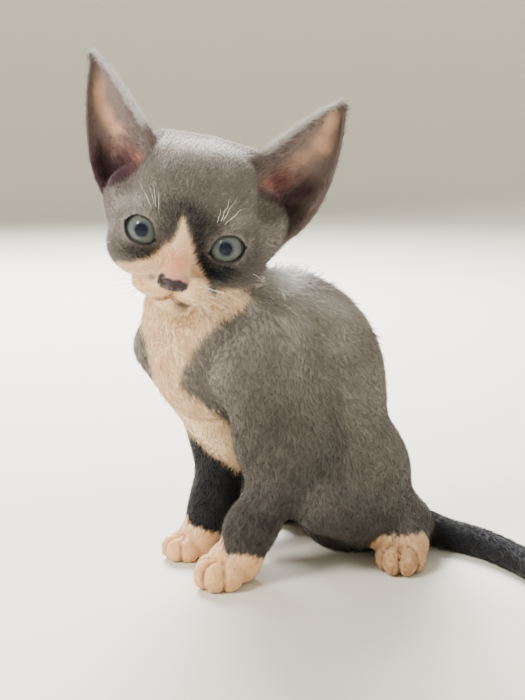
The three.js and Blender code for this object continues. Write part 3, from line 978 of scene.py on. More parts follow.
@dataclass
class Skin:
    """The whole kitten's skin as one mesh, with what the coat needs to know at each of its points."""

    head: Head
    body: Body
    step: float = 1.35  # spacing of the first mesh
    coarse: int = 4  # points between the places that are tried first
    join: float = 2.6  # width of the seam between head and neck
    floor: float = 0.25  # the soles' height above the floor, for the fur under them
    low: tuple = (-50.0, -74.0, -2.0)
    high: tuple = (137.0, 77.0, 203.0)

    def distance(self, points: Array, ear_extra: float = 0.0, fine: bool = True) -> Array:
        """Distance to the skin, in the forms' own frame.

        Args:
            points: places in millimetres.
            ear_extra: how much thicker than life the ear flaps are taken to be.
            fine: whether the creases of the face are cut.

        Returns:
            One distance for each point.
        """
        whole = soften(self.body.distance(points), self.head.distance(points, ear_extra, fine), self.join)
        return np.maximum(whole, self.floor - points[:, 2])

    def first_mesh(self) -> tuple[Array, Array]:
        """Meshes the skin with ears thick enough for the mesh's step.

        Returns:
            Vertices, and faces of four vertices each.
        """
        origin = np.array(self.low)
        wide = self.step * self.coarse
        count = np.ceil((np.array(self.high) - origin) / wide).astype(int) + 1
        blocks = np.stack(np.meshgrid(*[np.arange(n) for n in count], indexing="ij"), axis=-1).reshape(-1, 3)
        middle = origin + (blocks + 0.5) * wide
        rough = self.distance(middle, 3.0, False)
        near = np.abs(rough) < wide * 1.15
        values = rough.reshape(count)
        for axis in range(3):
            values = np.repeat(values, self.coarse, axis)
        inner = np.stack(np.meshgrid(*[np.arange(self.coarse)] * 3, indexing="ij"), axis=-1).reshape(-1, 3)
        places = (blocks[near][:, None, :] * self.coarse + inner[None]).reshape(-1, 3)
        values[tuple(places.T)] = self.distance(origin + places * self.step, 1.7, False)
        return surface_net(values, origin, self.step)

    def settled(self, points: Array, fine: bool) -> Array:
        """Moves points onto the skin, with the creases of the face or without."""
        return onto_surface(lambda p: self.distance(p, 0.0, fine), points, 2)

    def near_face(self, points: Array, level: int) -> Array:
        """Which points need a finer mesh.

        Args:
            points: places in the forms' own frame.
            level: 1 for the head's front and the ears, 2 for eyes, nose and mouth.

        Returns:
            True where the mesh is divided.
        """
        q = self.head.place.inward(points)
        x, y, z = np.abs(q[:, 0]), q[:, 1], q[:, 2]
        in_head = (np.abs(q - np.array([0, 12, 16])) < np.array([58, 44, 50])).all(1)
        if level == 1:
            ear = (x > 24) & (z > 2) | (z > 34)
            return in_head & ((y < 15) & (z > -30) | ear) | self.body.near_toes(points)
        eyes = np.minimum(*[np.abs(eye.rim(q)) for eye in self.head.eyes.values()]) < 3.2
        nose = (x < 13) & (z < -8) & (z > -26)
        return in_head & (y < 6) & (eyes | nose)

    def relax_lids(self, sheet: bmesh.types.BMesh, rounds: int = 5) -> None:
        """Evens out the rims of the lids.

        Args:
            sheet: the skin's mesh.
            rounds: how often each point is moved towards its neighbours.
        """
        sheet.verts.ensure_lookup_table()
        q = self.head.place.inward(np.array([v.co for v in sheet.verts]))
        rim = np.minimum(*[np.abs(eye.rim(q)) for eye in self.head.eyes.values()])
        chosen = [sheet.verts[i] for i in np.nonzero((rim < 1.3) & (q[:, 1] < 8))[0]]
        for _ in range(rounds):
            moved = []
            for vertex in chosen:
                around = [edge.other_vert(vertex).co for edge in vertex.link_edges]
                middle = sum(around, Vector()) / len(around)
                moved.append(vertex.co.lerp(middle, 0.5))
            for vertex, place in zip(chosen, moved):
                vertex.co = place

    def build(self) -> bpy.types.Object:
        """Builds the skin's mesh in the frame's metres.

        Returns:
            The skin's object, with smooth faces.
        """
        points, faces = self.first_mesh()
        mesh = smooth_mesh("skin", self.settled(points, False), faces.tolist())
        sheet = bmesh.new()
        sheet.from_mesh(mesh)
        for level in (1, 2):
            places = np.array([v.co for v in sheet.verts])
            chosen = self.near_face(places, level)
            sheet.verts.index_update()
            edges = [e for e in sheet.edges if chosen[e.verts[0].index] and chosen[e.verts[1].index]]
            bmesh.ops.subdivide_edges(sheet, edges=edges, cuts=1, use_grid_fill=True)
            places = np.array([v.co for v in sheet.verts])
            q = self.head.place.inward(places)
            sheet.verts.ensure_lookup_table()
            from_head = np.linalg.norm(q - np.array(self.head.middle), axis=1)
            moving = (from_head < 72) | self.body.near_toes(places)
            places[moving] = self.settled(places[moving], True)
            for vertex, place in zip(sheet.verts, places):
                vertex.co = place
        self.relax_lids(sheet)
        bmesh.ops.triangulate(sheet, faces=[f for f in sheet.faces if len(f.verts) > 4])
        bmesh.ops.recalc_face_normals(sheet, faces=sheet.faces)
        for face in sheet.faces:
            face.smooth = True
        for vertex in sheet.verts:
            vertex.co = (np.array(vertex.co) + ORIGIN_SHIFT) * MM
        sheet.to_mesh(mesh)
        sheet.free()
        mesh.update()
        return shown("skin", mesh)


# Markings


@dataclass(frozen=True)
class Palette:
    """Colours of the coat and the bare skin, as linear red, green and blue, among them painted rim light and
    the painted glow and shade inside the ears.
    """

    white: Triple = (0.94, 0.71, 0.47)
    cream: Triple = (0.84, 0.49, 0.23)
    grey: Triple = (0.240, 0.212, 0.184)
    pale_grey: Triple = (0.50, 0.475, 0.445)
    dark: Triple = (0.018, 0.015, 0.014)
    blue_black: Triple = (0.003, 0.0035, 0.006)
    pink: Triple = (0.64, 0.27, 0.155)
    nose_pink: Triple = (0.55, 0.27, 0.20)
    toe_pink: Triple = (0.30, 0.13, 0.07)
    nose_dark: Triple = (0.020, 0.010, 0.010)
    lid: Triple = (0.010, 0.008, 0.009)
    # painted glow of light shining through the ears from behind
    painted_glow_peach: Triple = (0.56, 0.32, 0.21)
    ear_margin: Triple = (0.15, 0.11, 0.098)
    # the next two are painted shade deep inside the ears
    painted_shade_maroon: Triple = (0.13, 0.042, 0.038)
    painted_shade_plum: Triple = (0.042, 0.018, 0.024)
    russet: Triple = (0.22, 0.11, 0.085)
    coral: Triple = (0.42, 0.15, 0.10)
    # painted rim light, laid on the ears' edges and on the palest parts of the coat
    painted_rim_light: Triple = (0.93, 0.93, 0.92)


def ripple(points: Array, length: float, seed: float) -> Array:
    """A soft random-looking pattern between about -1 and 1.

    Args:
        points: places in millimetres.
        length: the size of its waves.
        seed: any number, for another pattern.

    Returns:
        One value for each point.
    """
    p = points * (2 * math.pi / length)
    x, y, z = p[:, 0], p[:, 1], p[:, 2]
    first = np.sin(x * 0.83 + y * 0.41 + seed) * np.sin(z * 0.77 - y * 0.53 + seed * 1.7)
    second = np.sin(x * 0.37 - z * 1.13 + seed * 2.3) * np.sin(y * 1.19 + z * 0.29 + seed * 0.6)
    third = np.sin(x * 1.71 + z * 1.37 + y * 0.9 + seed * 3.1)
    return 0.45 * first + 0.35 * second + 0.2 * third


@dataclass(frozen=True)
class Sheet:
    """The plane that the markings are drawn on: 525 units across and 700 down, as seen from one place."""

    eye: tuple = (400.6, -246.1, 175.7)
    turn: float = 60.0
    pitch: float = 11.0
    focal: float = 1205.0
    middle: tuple = (262.5, 350.0)

    def axes(self) -> tuple[Array, Array, Array]:
        """Works out how the plane stands.

        Returns:
            Directions across, up and ahead.
        """
        a, p = math.radians(self.turn), math.radians(self.pitch)
        across = np.array([math.cos(a), math.sin(a), 0.0])
        ahead = np.array([-math.sin(a) * math.cos(p), math.cos(a) * math.cos(p), -math.sin(p)])
        return across, np.cross(across, ahead), ahead

    def drawn(self, points: Array) -> Array:
        """Finds where points fall on the plane.

        Args:
            points: places in millimetres.

        Returns:
            Two coordinates for each point.
        """
        across, up, ahead = self.axes()
        out = points - np.asarray(self.eye)
        depth = out @ ahead
        return np.stack([
            self.middle[0] + self.focal * (out @ across) / depth,
            self.middle[1] - self.focal * (out @ up) / depth,
        ], axis=1)

    def facing(self, points: Array, normals: Array) -> Array:
        """How much each point faces the place that the plane is seen from, from -1 to 1."""
        return (unit(np.asarray(self.eye) - points) * normals).sum(1)


@dataclass(frozen=True)
class Spot:
    """A soft-edged round patch on the plane."""

    x: float
    y: float
    wide: float
    high: float
    strength: float
    slant: float = 0.0  # degrees that its width is turned downwards at the right

    def at(self, drawn: Array) -> Array:
        """Finds how strong the patch is.

        Args:
            drawn: places on the plane.

        Returns:
            Strengths, which fade to zero outside the patch.
        """
        a = math.radians(self.slant)
        x, y = drawn[:, 0] - self.x, drawn[:, 1] - self.y
        along = (x * math.cos(a) + y * math.sin(a)) / self.wide
        down = (y * math.cos(a) - x * math.sin(a)) / self.high
        return self.strength * np.exp(-((along**2 + down**2) ** 1.4))


@dataclass(frozen=True)
class Outline:
    """A patch on the plane with corners."""

    corners: tuple

    def depth(self, drawn: Array) -> Array:
        """Finds how far inside the patch places are.

        Args:
            drawn: places on the plane.

        Returns:
            Distances to the outline, less than zero outside.
        """
        ends = np.asarray(self.corners, float)
        least = np.full(len(drawn), FAR)
        inside = np.zeros(len(drawn), bool)
        x, y = drawn[:, 0], drawn[:, 1]
        for a, b in zip(ends, np.roll(ends, -1, axis=0)):
            least = np.minimum(least, to_line(drawn, a, b))
            run = b - a
            edge = a[0] + (y - a[1]) / (run[1] or 1.0) * run[0]
            inside ^= ((a[1] > y) != (b[1] > y)) & (x < edge)
        return np.where(inside, least, -least)


@dataclass
class Survey:
    """Where each point of the skin lies: on which part, and how far along it."""

    skin: Skin
    points: Array  # in the forms' own frame, in millimetres
    normals: Array

    def __post_init__(self) -> None:
        """Measures the points against each part."""
        head = self.skin.head
        self.q = head.place.inward(self.points)
        self.parts = self.skin.body.parts(self.points)
        gaps = list(self.parts.values())
        body_gap = np.min(gaps, axis=0) + 1.5
        self.on_head = smooth(-2.0, 2.0, body_gap - head.distance(self.points, 0.0, False))
        left, right = (head.ears[name].nearest(self.q) for name in SIDES)
        self.on_ear = 1.0 - smooth(1.8, 3.0, np.minimum(left[0], right[0]))
        self.ear_left = left[0] < right[0]
        self.ear_uv = np.where(self.ear_left[:, None], left[1], right[1])
        self.ear_inside = np.where(self.ear_left, left[2], right[2]) > 0
        self.label = np.array(list(self.parts), dtype=object)[np.argmin(gaps, axis=0)]
        self.label[self.on_head > 0.5] = "head"
        self.label[self.on_ear > 0.5] = "ear"
        self.rim = np.minimum(*[eye.rim(self.q) for eye in head.eyes.values()])
        sheet = Sheet()
        self.drawn = sheet.drawn(self.points)
        self.facing = sheet.facing(self.points, self.normals)

    def near_part(self, kind: str, softness: float = 3.0) -> Array:
        """Finds how much each point belongs to a kind of part.

        Args:
            kind: how the parts' names begin.
            softness: half the width of the border, in millimetres.

        Returns:
            Shares from 0 to 1.
        """
        groups = {True: [], False: []}
        for name, distance in self.parts.items():
            groups[name.startswith(kind)].append(distance)
        gap = np.min(groups[False], axis=0) - np.min(groups[True], axis=0)
        return smooth(-softness, softness, gap) * (1.0 - self.on_head)


@dataclass
class Markings:
    """The kitten's colours, for its skin and its coat alike, with painted rim light, glow and shade among
    them.
    """

    palette: Palette = Palette()
    # white of the face, on the plane that markings are drawn on
    blaze: Outline = Outline((
        (182, 219), (179, 230), (174, 241), (166, 247), (158, 252), (151, 258), (141, 261), (130, 263),
        (120, 262), (112, 275), (115, 300), (130, 335), (272, 335), (268, 292), (250, 298), (232, 301),
        (215, 299), (209, 290), (205, 278), (199, 269), (195, 260), (193, 250), (190, 241), (187, 232),
        (185, 220),
    ))
    # white of the chest and of the band between the forelegs
    bib: Outline = Outline((
        (120, 270), (134, 300), (141, 320), (147, 342), (151, 362), (153, 382), (160, 398), (175, 417),
        (192, 435), (215, 455), (236, 470), (243, 471), (243, 452), (238, 436), (225, 420), (206, 406),
        (190, 394), (179, 383), (182, 369), (190, 353), (203, 336), (220, 320), (240, 307), (258, 297),
        (260, 275),
    ))
    # dark part of the nose leather
    nose_dark: Outline = Outline((
        (153, 269), (160, 271), (167, 277), (173, 280), (180, 280), (190, 284), (190, 292), (182, 297),
        (171, 297), (160, 291), (153, 283),
    ))
    # openings of the ears, and the colours inside them: the ears' own pink, laid brighter as painted glow
    # where light shines through from behind and darker as painted shade deep in the ear
    openings: tuple = (
        Outline((
            (95, 60), (90, 80), (91, 109), (92, 139), (89, 153), (92, 172), (98, 188), (104, 191), (118, 185),
            (130, 178), (139, 171), (148, 158), (155, 147), (158, 139), (149, 129), (138, 113), (125, 94),
            (110, 72),
        )),
        Outline((
            (338, 104), (317, 112), (298, 123), (279, 136), (266, 149), (258, 160), (255, 178), (257, 192),
            (262, 200), (277, 205), (288, 219), (294, 229), (300, 225), (310, 213), (322, 199), (326, 184),
            (332, 168), (340, 149), (343, 126),
        )),
    )
    ear_spots: tuple = (
        (Spot(99, 92, 6, 16, 0.85), "painted_glow_peach"), (Spot(106, 114, 7, 14, 0.85, -20), "painted_glow_peach"),
        (Spot(117, 130, 8, 8, 0.8), "painted_glow_peach"), (Spot(120, 148, 15, 13, 0.75), "russet"),
        (Spot(98, 166, 17, 24, 1.0), "painted_shade_plum"), (Spot(115, 176, 22, 13, 1.0, -25), "painted_shade_plum"),
        (Spot(128, 164, 11, 14, 0.8), "painted_shade_maroon"), (Spot(138, 160, 5, 8, 0.6, 15), "coral"),
        (Spot(112, 187, 24, 8, 0.9, -28), "painted_shade_plum"), (Spot(133, 173, 8, 6, 0.7, -30), "painted_shade_maroon"),
        (Spot(121, 166, 12, 13, 0.7), "painted_shade_plum"),
        (Spot(330, 124, 7, 14, 0.9, 20), "painted_glow_peach"), (Spot(322, 144, 10, 11, 0.85, -20), "painted_glow_peach"),
        (Spot(303, 158, 16, 8, 0.45, -30), "painted_glow_peach"), (Spot(290, 176, 18, 12, 0.6, -20), "russet"),
        (Spot(281, 184, 10, 15, 0.8), "painted_shade_maroon"), (Spot(302, 192, 20, 12, 1.0, -35), "painted_shade_plum"),
        (Spot(286, 208, 15, 12, 1.0, 30), "painted_shade_plum"), (Spot(266, 184, 7, 7, 0.45), "coral"),
        (Spot(275, 178, 5, 9, 0.6), "painted_shade_maroon"),
    )
    # dark patches of the face, and pale ones with a strength below zero; the long pale one along the top of
    # the head is painted rim light
    patches: tuple = (
        Spot(181, 213, 31, 15, 0.62, 10), Spot(167, 236, 14, 17, 0.66), Spot(143, 252, 20, 10, 0.84, 8),
        Spot(198, 249, 10, 20, 0.84, -8), Spot(214, 271, 24, 12, 1.0, 12), Spot(207, 228, 18, 12, 0.55, 10),
        Spot(190, 186, 40, 26, 0.27, 10), Spot(246, 262, 20, 22, 0.36), Spot(126, 203, 22, 8, -0.34, -8),
        Spot(106, 214, 8, 24, -0.12), Spot(116, 246, 16, 14, 0.28), Spot(238, 222, 16, 8, -0.12),
        Spot(204, 146, 60, 9, -0.5, 8),
    )
    # pale tuft at the nape and pale locks on the withers, their paleness painted rim light, and darker parts
    # of the side
    coat_patches: tuple = (
        Spot(282, 272, 26, 20, -1.3), Spot(322, 300, 34, 12, -0.42, 25), Spot(340, 340, 16, 20, -0.25, 30),
        Spot(296, 330, 14, 30, -0.2, -10), Spot(290, 480, 40, 40, 0.12), Spot(350, 500, 40, 40, 0.08),
        Spot(150, 366, 8, 40, 0.25), Spot(336, 410, 9, 34, 0.16, -8), Spot(262, 420, 46, 46, 0.30, 20),
        Spot(246, 350, 34, 34, 0.22), Spot(372, 390, 26, 60, -0.12),
    )

    def mixed(self, a: Array, b: Triple, share: Array) -> Array:
        """Colours a, with a share of the colour b laid over them."""
        return a + (np.asarray(b) - a) * np.clip(share, 0.0, 1.0)[:, None]

    def flat(self, colour: Triple, at: Survey) -> Array:
        """The same colour for every point."""
        return np.tile(np.asarray(colour, float), (len(at.points), 1))

    def white_of(self, at: Survey) -> Array:
        """Finds where the coat is white.

        Args:
            at: the skin's survey.

        Returns:
            Shares from 0 to 1.
        """
        y, z = at.points[:, 1], at.points[:, 2]
        wander = 0.9 * ripple(at.points, 5.0, 1.0) + 0.5 * ripple(at.points, 2.3, 4.0)
        fray = 3.0 * ripple(at.points, 3.2, 1.5) + 2.0 * ripple(at.points, 1.6, 0.5)
        near = smooth(-0.25, 0.1, at.facing)
        face = smooth(-2.2, 2.2, self.blaze.depth(at.drawn) + 0.6 * fray) * near
        face = face * (1.0 - smooth(16.0, 26.0, at.q[:, 1]))
        far_face = smooth(-1.0, 1.0, -15.5 - at.q[:, 2] + wander) * (1.0 - near)
        face = np.maximum(face, far_face * (1.0 - smooth(4.0, 12.0, at.q[:, 1])))
        front = 1.0 - smooth(-22.0, -12.0, y + 0.3 * (z - 70.0) * (z > 70.0))
        front = np.maximum(front, (z < 62) * (y < -8))
        chest = smooth(-3.0, 3.0, self.bib.depth(at.drawn) + 1.2 * fray) * near * front
        chest = chest * (1.0 - at.near_part("leg_hind", 2.0))
        chest = chest * (1.0 - at.near_part("leg_fore_left", 1.5) * smooth(72.0, 62.0, z))
        paws = self.white_paws(at, wander)
        return np.clip(face * at.on_head + chest * (1.0 - at.on_head) + paws, 0.0, 1.0)

    def white_paws(self, at: Survey, wander: Array) -> Array:
        """Finds where the paws are white.

        Args:
            at: the skin's survey.
            wander: unevenness of the borders, in millimetres.

        Returns:
            Shares from 0 to 1.
        """
        total = np.zeros(len(at.points))
        for name, paw in at.skin.body.paws.items():
            x, y, _ = paw.place.inward(at.points).T
            if name.startswith("fore"):
                reach = 1.0 - smooth(19.0, 22.0, np.hypot(x, y))
                peak = 4.0 * np.exp(-(((x + 2) / 3.2) ** 2)) * (y < 0)
                top = 13.5 - 4.5 * smooth(-2.0, 12.0, y) + peak
            else:
                reach = smooth(2.6, 1.0, at.parts[f"paw_{name}"])
                top = 14.0 - 16.0 * smooth(1.0, 8.0, y)
            # the far hind paw is white only at its toes; its back is left dark as painted shade under the
            # body
            if name == "hind_right":
                top = 7.0 - 20.0 * smooth(-8.0, -2.0, y)
            total = np.maximum(total, smooth(-0.9, 0.9, top - at.points[:, 2] + wander) * reach)
        return total * (1.0 - at.on_head)

    def darkness_of(self, at: Survey) -> Array:
        """Finds how dark the grey of the coat is, with painted shade low down and on the far side and painted
        rim light on top.

        Args:
            at: the skin's survey.

        Returns:
            Shares from below 0, which is pale, to 1, which is nearly black.
        """
        x, y, z = at.points.T
        front = smooth(22.0, 12.0, at.q[:, 1]) * smooth(-0.2, 0.1, at.facing)
        streaks = 1.0 + 0.22 * ripple(at.points, 2.0, 6.5) + 0.16 * ripple(at.points, 4.5, 2.5)
        patches = sum(spot.at(at.drawn) for spot in self.patches)
        face = 0.16 + np.tanh(1.25 * patches * streaks) * front
        # darker towards the bottom: partly the coat's own colour, partly painted shade under the body
        body = 0.16 + 0.42 * smooth(98.0, 44.0, z) + 0.30 * smooth(44.0, 6.0, z)
        # paler over the withers: painted rim light on top
        body = body - 0.14 * smooth(84.0, 104.0, z) * smooth(-30.0, -10.0, y)
        body = body + sum(spot.at(at.drawn) for spot in self.coat_patches) * smooth(-0.3, 0.1, at.facing)
        # forelegs darker, the far one nearly black, and the chest between them dark: partly their own colour,
        # partly painted shade on the far side
        leg = np.where(x < 0, 1.04, 0.74 + 0.16 * smooth(56.0, 18.0, z))
        fore = at.near_part("leg_fore", 4.0) * smooth(70.0, 50.0, z)
        body = body * (1 - fore) + leg * fore
        inner = smooth(10.0, -8.0, x) * smooth(-5.0, -25.0, y) * smooth(66.0, 50.0, z)
        body = body + np.maximum(0.85 * inner - body, 0.0) * (inner > 0.02)
        # the tail and the back of the rump near the floor nearly black: partly the tail's own dark colour,
        # partly painted shade under the rump
        tail = np.maximum(at.near_part("tail", 5.0), smooth(50.0, 62.0, y) * smooth(30.0, 16.0, z))
        body = body * (1 - tail) + 1.08 * tail
        sizes = ((17.0, 2.0), (6.0, 5.0), (2.6, 3.5))
        uneven = sum(0.06 * ripple(at.points, size, seed) for size, seed in sizes)
        ear = 0.35 + 0.25 * smooth(0.5, 0.9, at.ear_uv[:, 1])
        total = face * at.on_head + body * (1.0 - at.on_head)
        return total * (1 - at.on_ear) + ear * at.on_ear + uneven

    def nose_of(self, at: Survey) -> tuple[Array, Array]:
        """Finds the nose leather.

        Args:
            at: the skin's survey.

        Returns:
            Where the leather is, and where it is dark.
        """
        x, _, z = at.q.T
        reach = at.skin.head.nose.distance(at.q) - 0.5
        sides = np.abs(x) - 5.7 - 0.95 * np.minimum(z + 15.9, 0.0)
        leather = smooth(0.5, -0.5, np.maximum(reach, sides))
        leather = leather * smooth(-11.0, -12.6, z) * smooth(-20.4, -19.4, z)
        dark = smooth(-1.5, 1.5, self.nose_dark.depth(at.drawn) + 1.2 * ripple(at.points, 2.2, 8.0))
        return leather, dark

    def coat_tint(self, at: Survey) -> Array:
        """Works out the colour of the coat, with the pink of the muzzle and between the toes.

        Args:
            at: the skin's survey.

        Returns:
            One colour for each point.
        """
        colour = self.palette
        dark = self.darkness_of(at)
        tint = self.mixed(self.flat(colour.grey, at), colour.pale_grey, -dark * 1.6 + 0.1)
        # the palest parts go towards white: painted rim light
        tint = self.mixed(tint, colour.painted_rim_light, (-dark - 0.4) * 1.2)
        tint = self.mixed(tint, colour.dark, dark)
        tint = self.mixed(tint, colour.blue_black, (dark - 0.9) * 8.0)
        white = self.white_of(at)
        cream = 0.25 + 0.4 * ripple(at.points, 14.0, 3.0) + 0.7 * smooth(20.0, 8.0, at.points[:, 2])
        cream = cream + 0.35 * Spot(168, 285, 45, 22, 1.0).at(at.drawn)
        pale = self.mixed(self.flat(colour.white, at), colour.cream, cream)
        pale = pale * (1.0 - 0.4 * at.near_part("paw_hind", 3.0))[:, None]
        tint = tint + (pale - tint) * white[:, None]
        front = at.on_head * smooth(6.0, 0.0, at.q[:, 1])
        tint = self.mixed(tint, colour.pink, 0.95 * Spot(175, 264, 15, 17, 1.0, 10).at(at.drawn) * front)
        spots = Spot(152, 277, 5, 4, 0.9).at(at.drawn) + Spot(182, 306, 10, 5, 1.0, 15).at(at.drawn)
        tint = self.mixed(tint, colour.dark, 0.75 * spots * front)
        for paw in at.skin.body.paws.values():
            cleft = smooth(0.9, 0.2, paw.cleft(at.points)) * (at.points[:, 2] < 11.0) * (1.0 - at.on_head)
            tint = self.mixed(tint, colour.toe_pink, 0.7 * cleft * white)
        return tint

    def ear_tint(self, at: Survey) -> Array:
        """Works out the colour of the inside of the ears, with painted glow and painted shade on their pink.

        Args:
            at: the skin's survey.

        Returns:
            One colour for each point.
        """
        tint = self.flat(self.palette.ear_margin, at)
        drawn = at.drawn + 1.5 * ripple(at.points, 6.0, 6.0)[:, None]
        facing = smooth(-0.6, 0.0, at.facing)
        for spot, name in self.ear_spots:
            tint = self.mixed(tint, getattr(self.palette, name), spot.at(drawn) * facing)
        # off the flap, deep in the opening: painted shade
        return self.mixed(tint, self.palette.painted_shade_plum, 0.7 * (1.0 - at.on_ear))

    def colours(self, at: Survey) -> dict[str, Array]:
        """Works out what the finishes read at each point of the skin.

        Args:
            at: the skin's survey.

        Returns:
            The tint, and the shares of bare and of moist skin.
        """
        colour = self.palette
        y = at.q[:, 1]
        u, v = at.ear_uv.T
        front = at.on_head * smooth(6.0, 0.0, y)
        leather, dark_leather = self.nose_of(at)
        leather = leather * front
        nose = self.mixed(self.flat(colour.nose_pink, at), colour.nose_dark, dark_leather)
        tint = self.coat_tint(at)
        tint = tint + (nose - tint) * leather[:, None]
        lip = smooth(0.95, 0.3, at.skin.head.mouth(at.q)) * front
        tint = self.mixed(tint, colour.nose_dark, 0.85 * lip)
        lids = smooth(1.1, 0.6, at.rim) * smooth(8.0, 5.0, y) * at.on_head
        tint = self.mixed(tint, colour.lid, lids)
        opening = np.max([smooth(-2.0, 2.0, outline.depth(at.drawn)) for outline in self.openings], axis=0)
        opening = opening * smooth(-0.15, 0.1, at.facing) * (y > 3) * (at.on_head > 0.5)
        inside = np.maximum(at.on_ear * at.ear_inside, opening)
        tint = tint + (self.ear_tint(at) - tint) * inside[:, None]
        edge = np.maximum(smooth(0.93, 1.0, np.abs(u)), smooth(0.93, 1.0, v)) * smooth(0.05, 0.2, v)
        # the flap's edges: painted rim light
        tint = self.mixed(tint, colour.painted_rim_light, 0.95 * edge * at.on_ear)
        margin = np.where(at.on_ear > 0.5, smooth(0.97, 0.7, np.abs(u)), 1.0)
        bare = np.clip(leather + lids + 0.92 * inside * margin + lip, 0, 1)
        moist = np.clip(leather + 0.5 * lip + 0.25 * lids, 0, 1)
        return {"tint": tint, "bare": bare, "moist": moist}


# Lie of the coat


@dataclass(frozen=True)
class Length:
    """Length in millimetres and lift of the hair on one part of the body."""

    reach: float
    lift: float


@dataclass
class Lie:
    """Which way the coat lies, how long it is and how far it stands out."""

    face: Length = Length(2.0, 0.28)
    crown: Length = Length(2.6, 0.34)
    ear: Length = Length(1.9, 0.30)
    trunk: Length = Length(3.1, 0.11)
    withers: Length = Length(3.7, 0.22)
    leg: Length = Length(2.5, 0.17)
    paw: Length = Length(1.6, 0.22)
    tail: Length = Length(2.6, 0.22)

    def direction(self, at: Survey) -> Array:
        """Works out which way the coat lies.

        Args:
            at: the skin's survey.

        Returns:
            Unit vectors along the skin, in the outer frame.
        """
        x, y, z = at.points.T
        body, axes = at.skin.body, at.skin.head.place.axes
        out, back = 0.25 * np.sign(x) * smooth(0, 20, np.abs(x)), 0.25 + 0.5 * smooth(-30.0, 20.0, y)
        trunk = np.stack([out, back, -np.ones(len(x))], axis=1)
        share = at.near_part("leg", 6.0)[:, None]
        total = unit(trunk) * (1 - share) + np.array([0.0, -0.1, -1.0]) * share
        for name, paw in body.paws.items():
            share = (smooth(4.0, -1.0, at.parts[f"paw_{name}"]) * smooth(20.0, 12.0, z))[:, None]
            total = total * (1 - share) + paw.place.axes @ np.array([0, -1.0, -0.5]) * share
        tail = np.asarray(body.tail, float)
        run = np.gradient(tail[:, :3], axis=0)
        along = np.stack([np.interp(x, tail[:, 0], run[:, n]) for n in range(3)], axis=1)
        share = at.near_part("tail", 4.0)[:, None]
        total = total * (1 - share) + unit(along) * share
        head = unit(at.q - np.array([0, -12.5, -13.0])) + np.array([0, 0, 0.15])
        share = at.on_head[:, None]
        total = total * (1 - share) + unit(head @ axes.T) * share
        for name, ear in at.skin.head.ears.items():
            tip = ear.fit.point(np.array([0.0]), np.array([0.95]))[0]
            up = unit((tip - at.q) + np.array([SIDES[name] * 6.0, 0, 0])) @ axes.T
            share = (at.on_ear * (at.ear_left == (name == "left")))[:, None]
            total = total * (1 - share) + up * share
        total = unit(total - at.normals * (total * at.normals).sum(1, keepdims=True))
        wave = 0.55 * ripple(at.points, 13.0, 7.0) + 0.35 * ripple(at.points, 5.0, 9.0)
        wave = wave * (1.0 - 0.6 * at.on_head) * (1.0 - 0.8 * at.near_part("tail"))
        return unit(total + np.cross(at.normals, total) * wave[:, None])

    def lengths(self, at: Survey) -> tuple[Array, Array]:
        """Works out how long the coat is and how far it stands out.

        Args:
            at: the skin's survey.

        Returns:
            Lengths in millimetres, and how steeply the hair leaves the skin.
        """
        _, y, z = at.points.T
        behind = at.q[:, 1]
        # the parts' own lengths are laid over one another in this order
        shares = {
            "withers": smooth(72.0, 92.0, z) * smooth(-34.0, -14.0, y),
            "leg": at.near_part("leg", 5.0) * smooth(62.0, 40.0, z),
            "tail": at.near_part("tail", 4.0),
            "paw": at.near_part("paw", 2.0),
        }
        rows = []
        for pick in ("reach", "lift"):
            total = np.full(len(z), getattr(self.trunk, pick))
            for name, share in shares.items():
                total = total + (getattr(getattr(self, name), pick) - total) * share
            face = getattr(self.face, pick)
            head = face + (getattr(self.crown, pick) - face) * smooth(2.0, 22.0, behind)
            total = total + (head - total) * at.on_head
            rows.append(total + (getattr(self.ear, pick) - total) * at.on_ear)
        muzzle = smooth(5.0, 15.0, np.linalg.norm(at.q - np.array([0, -9.0, -13.0]), axis=1))
        head = at.skin.head
        bare = np.minimum(head.mouth(at.q), head.nose.distance(at.q))
        bare = np.minimum(bare, np.abs(at.rim) + (behind > 9) * FAR)
        near_bare = smooth(0.3, 4.0, bare) * at.on_head + (1.0 - at.on_head)
        return rows[0] * (0.5 + 0.5 * muzzle) * (0.4 + 0.6 * near_bare), rows[1]


# Unwrap of the skin's own shape, for the coat's map


@dataclass(frozen=True)
class Chart:
    """A place in the map: its lower left corner and its size."""

    corner: tuple
    size: tuple

    def put(self, uv: Array) -> Array:
        """Coordinates from 0 to 1, placed in the chart with a margin."""
        return np.asarray(self.corner) + (0.03 + 0.94 * np.clip(uv, 0, 1)) * np.asarray(self.size)


def all_charts() -> dict[str, Chart]:
    """Shares the map out among the parts.

    Returns:
        A chart for the head, each side of each ear, the trunk, each leg, each paw and the tail.
    """
    charts = {
        "head": Chart((0.0, 0.0), (0.44, 0.44)),
        "tail": Chart((0.72, 0.28), (0.28, 0.16)),
        "trunk": Chart((0.0, 0.44), (0.6, 0.56)),
    }
    for column, side in enumerate(SIDES):
        for row, face in enumerate(("in", "out")):
            charts[f"ear_{side}_{face}"] = Chart((0.44 + 0.14 * row, 0.22 * column), (0.14, 0.22))
        for row, legs in enumerate(("fore", "hind")):
            charts[f"paw_{legs}_{side}"] = Chart((0.72 + 0.14 * column, 0.14 * row), (0.14, 0.14))
            charts[f"leg_{legs}_{side}"] = Chart((0.6 + 0.2 * column, 0.44 + 0.28 * row), (0.2, 0.28))
    return charts


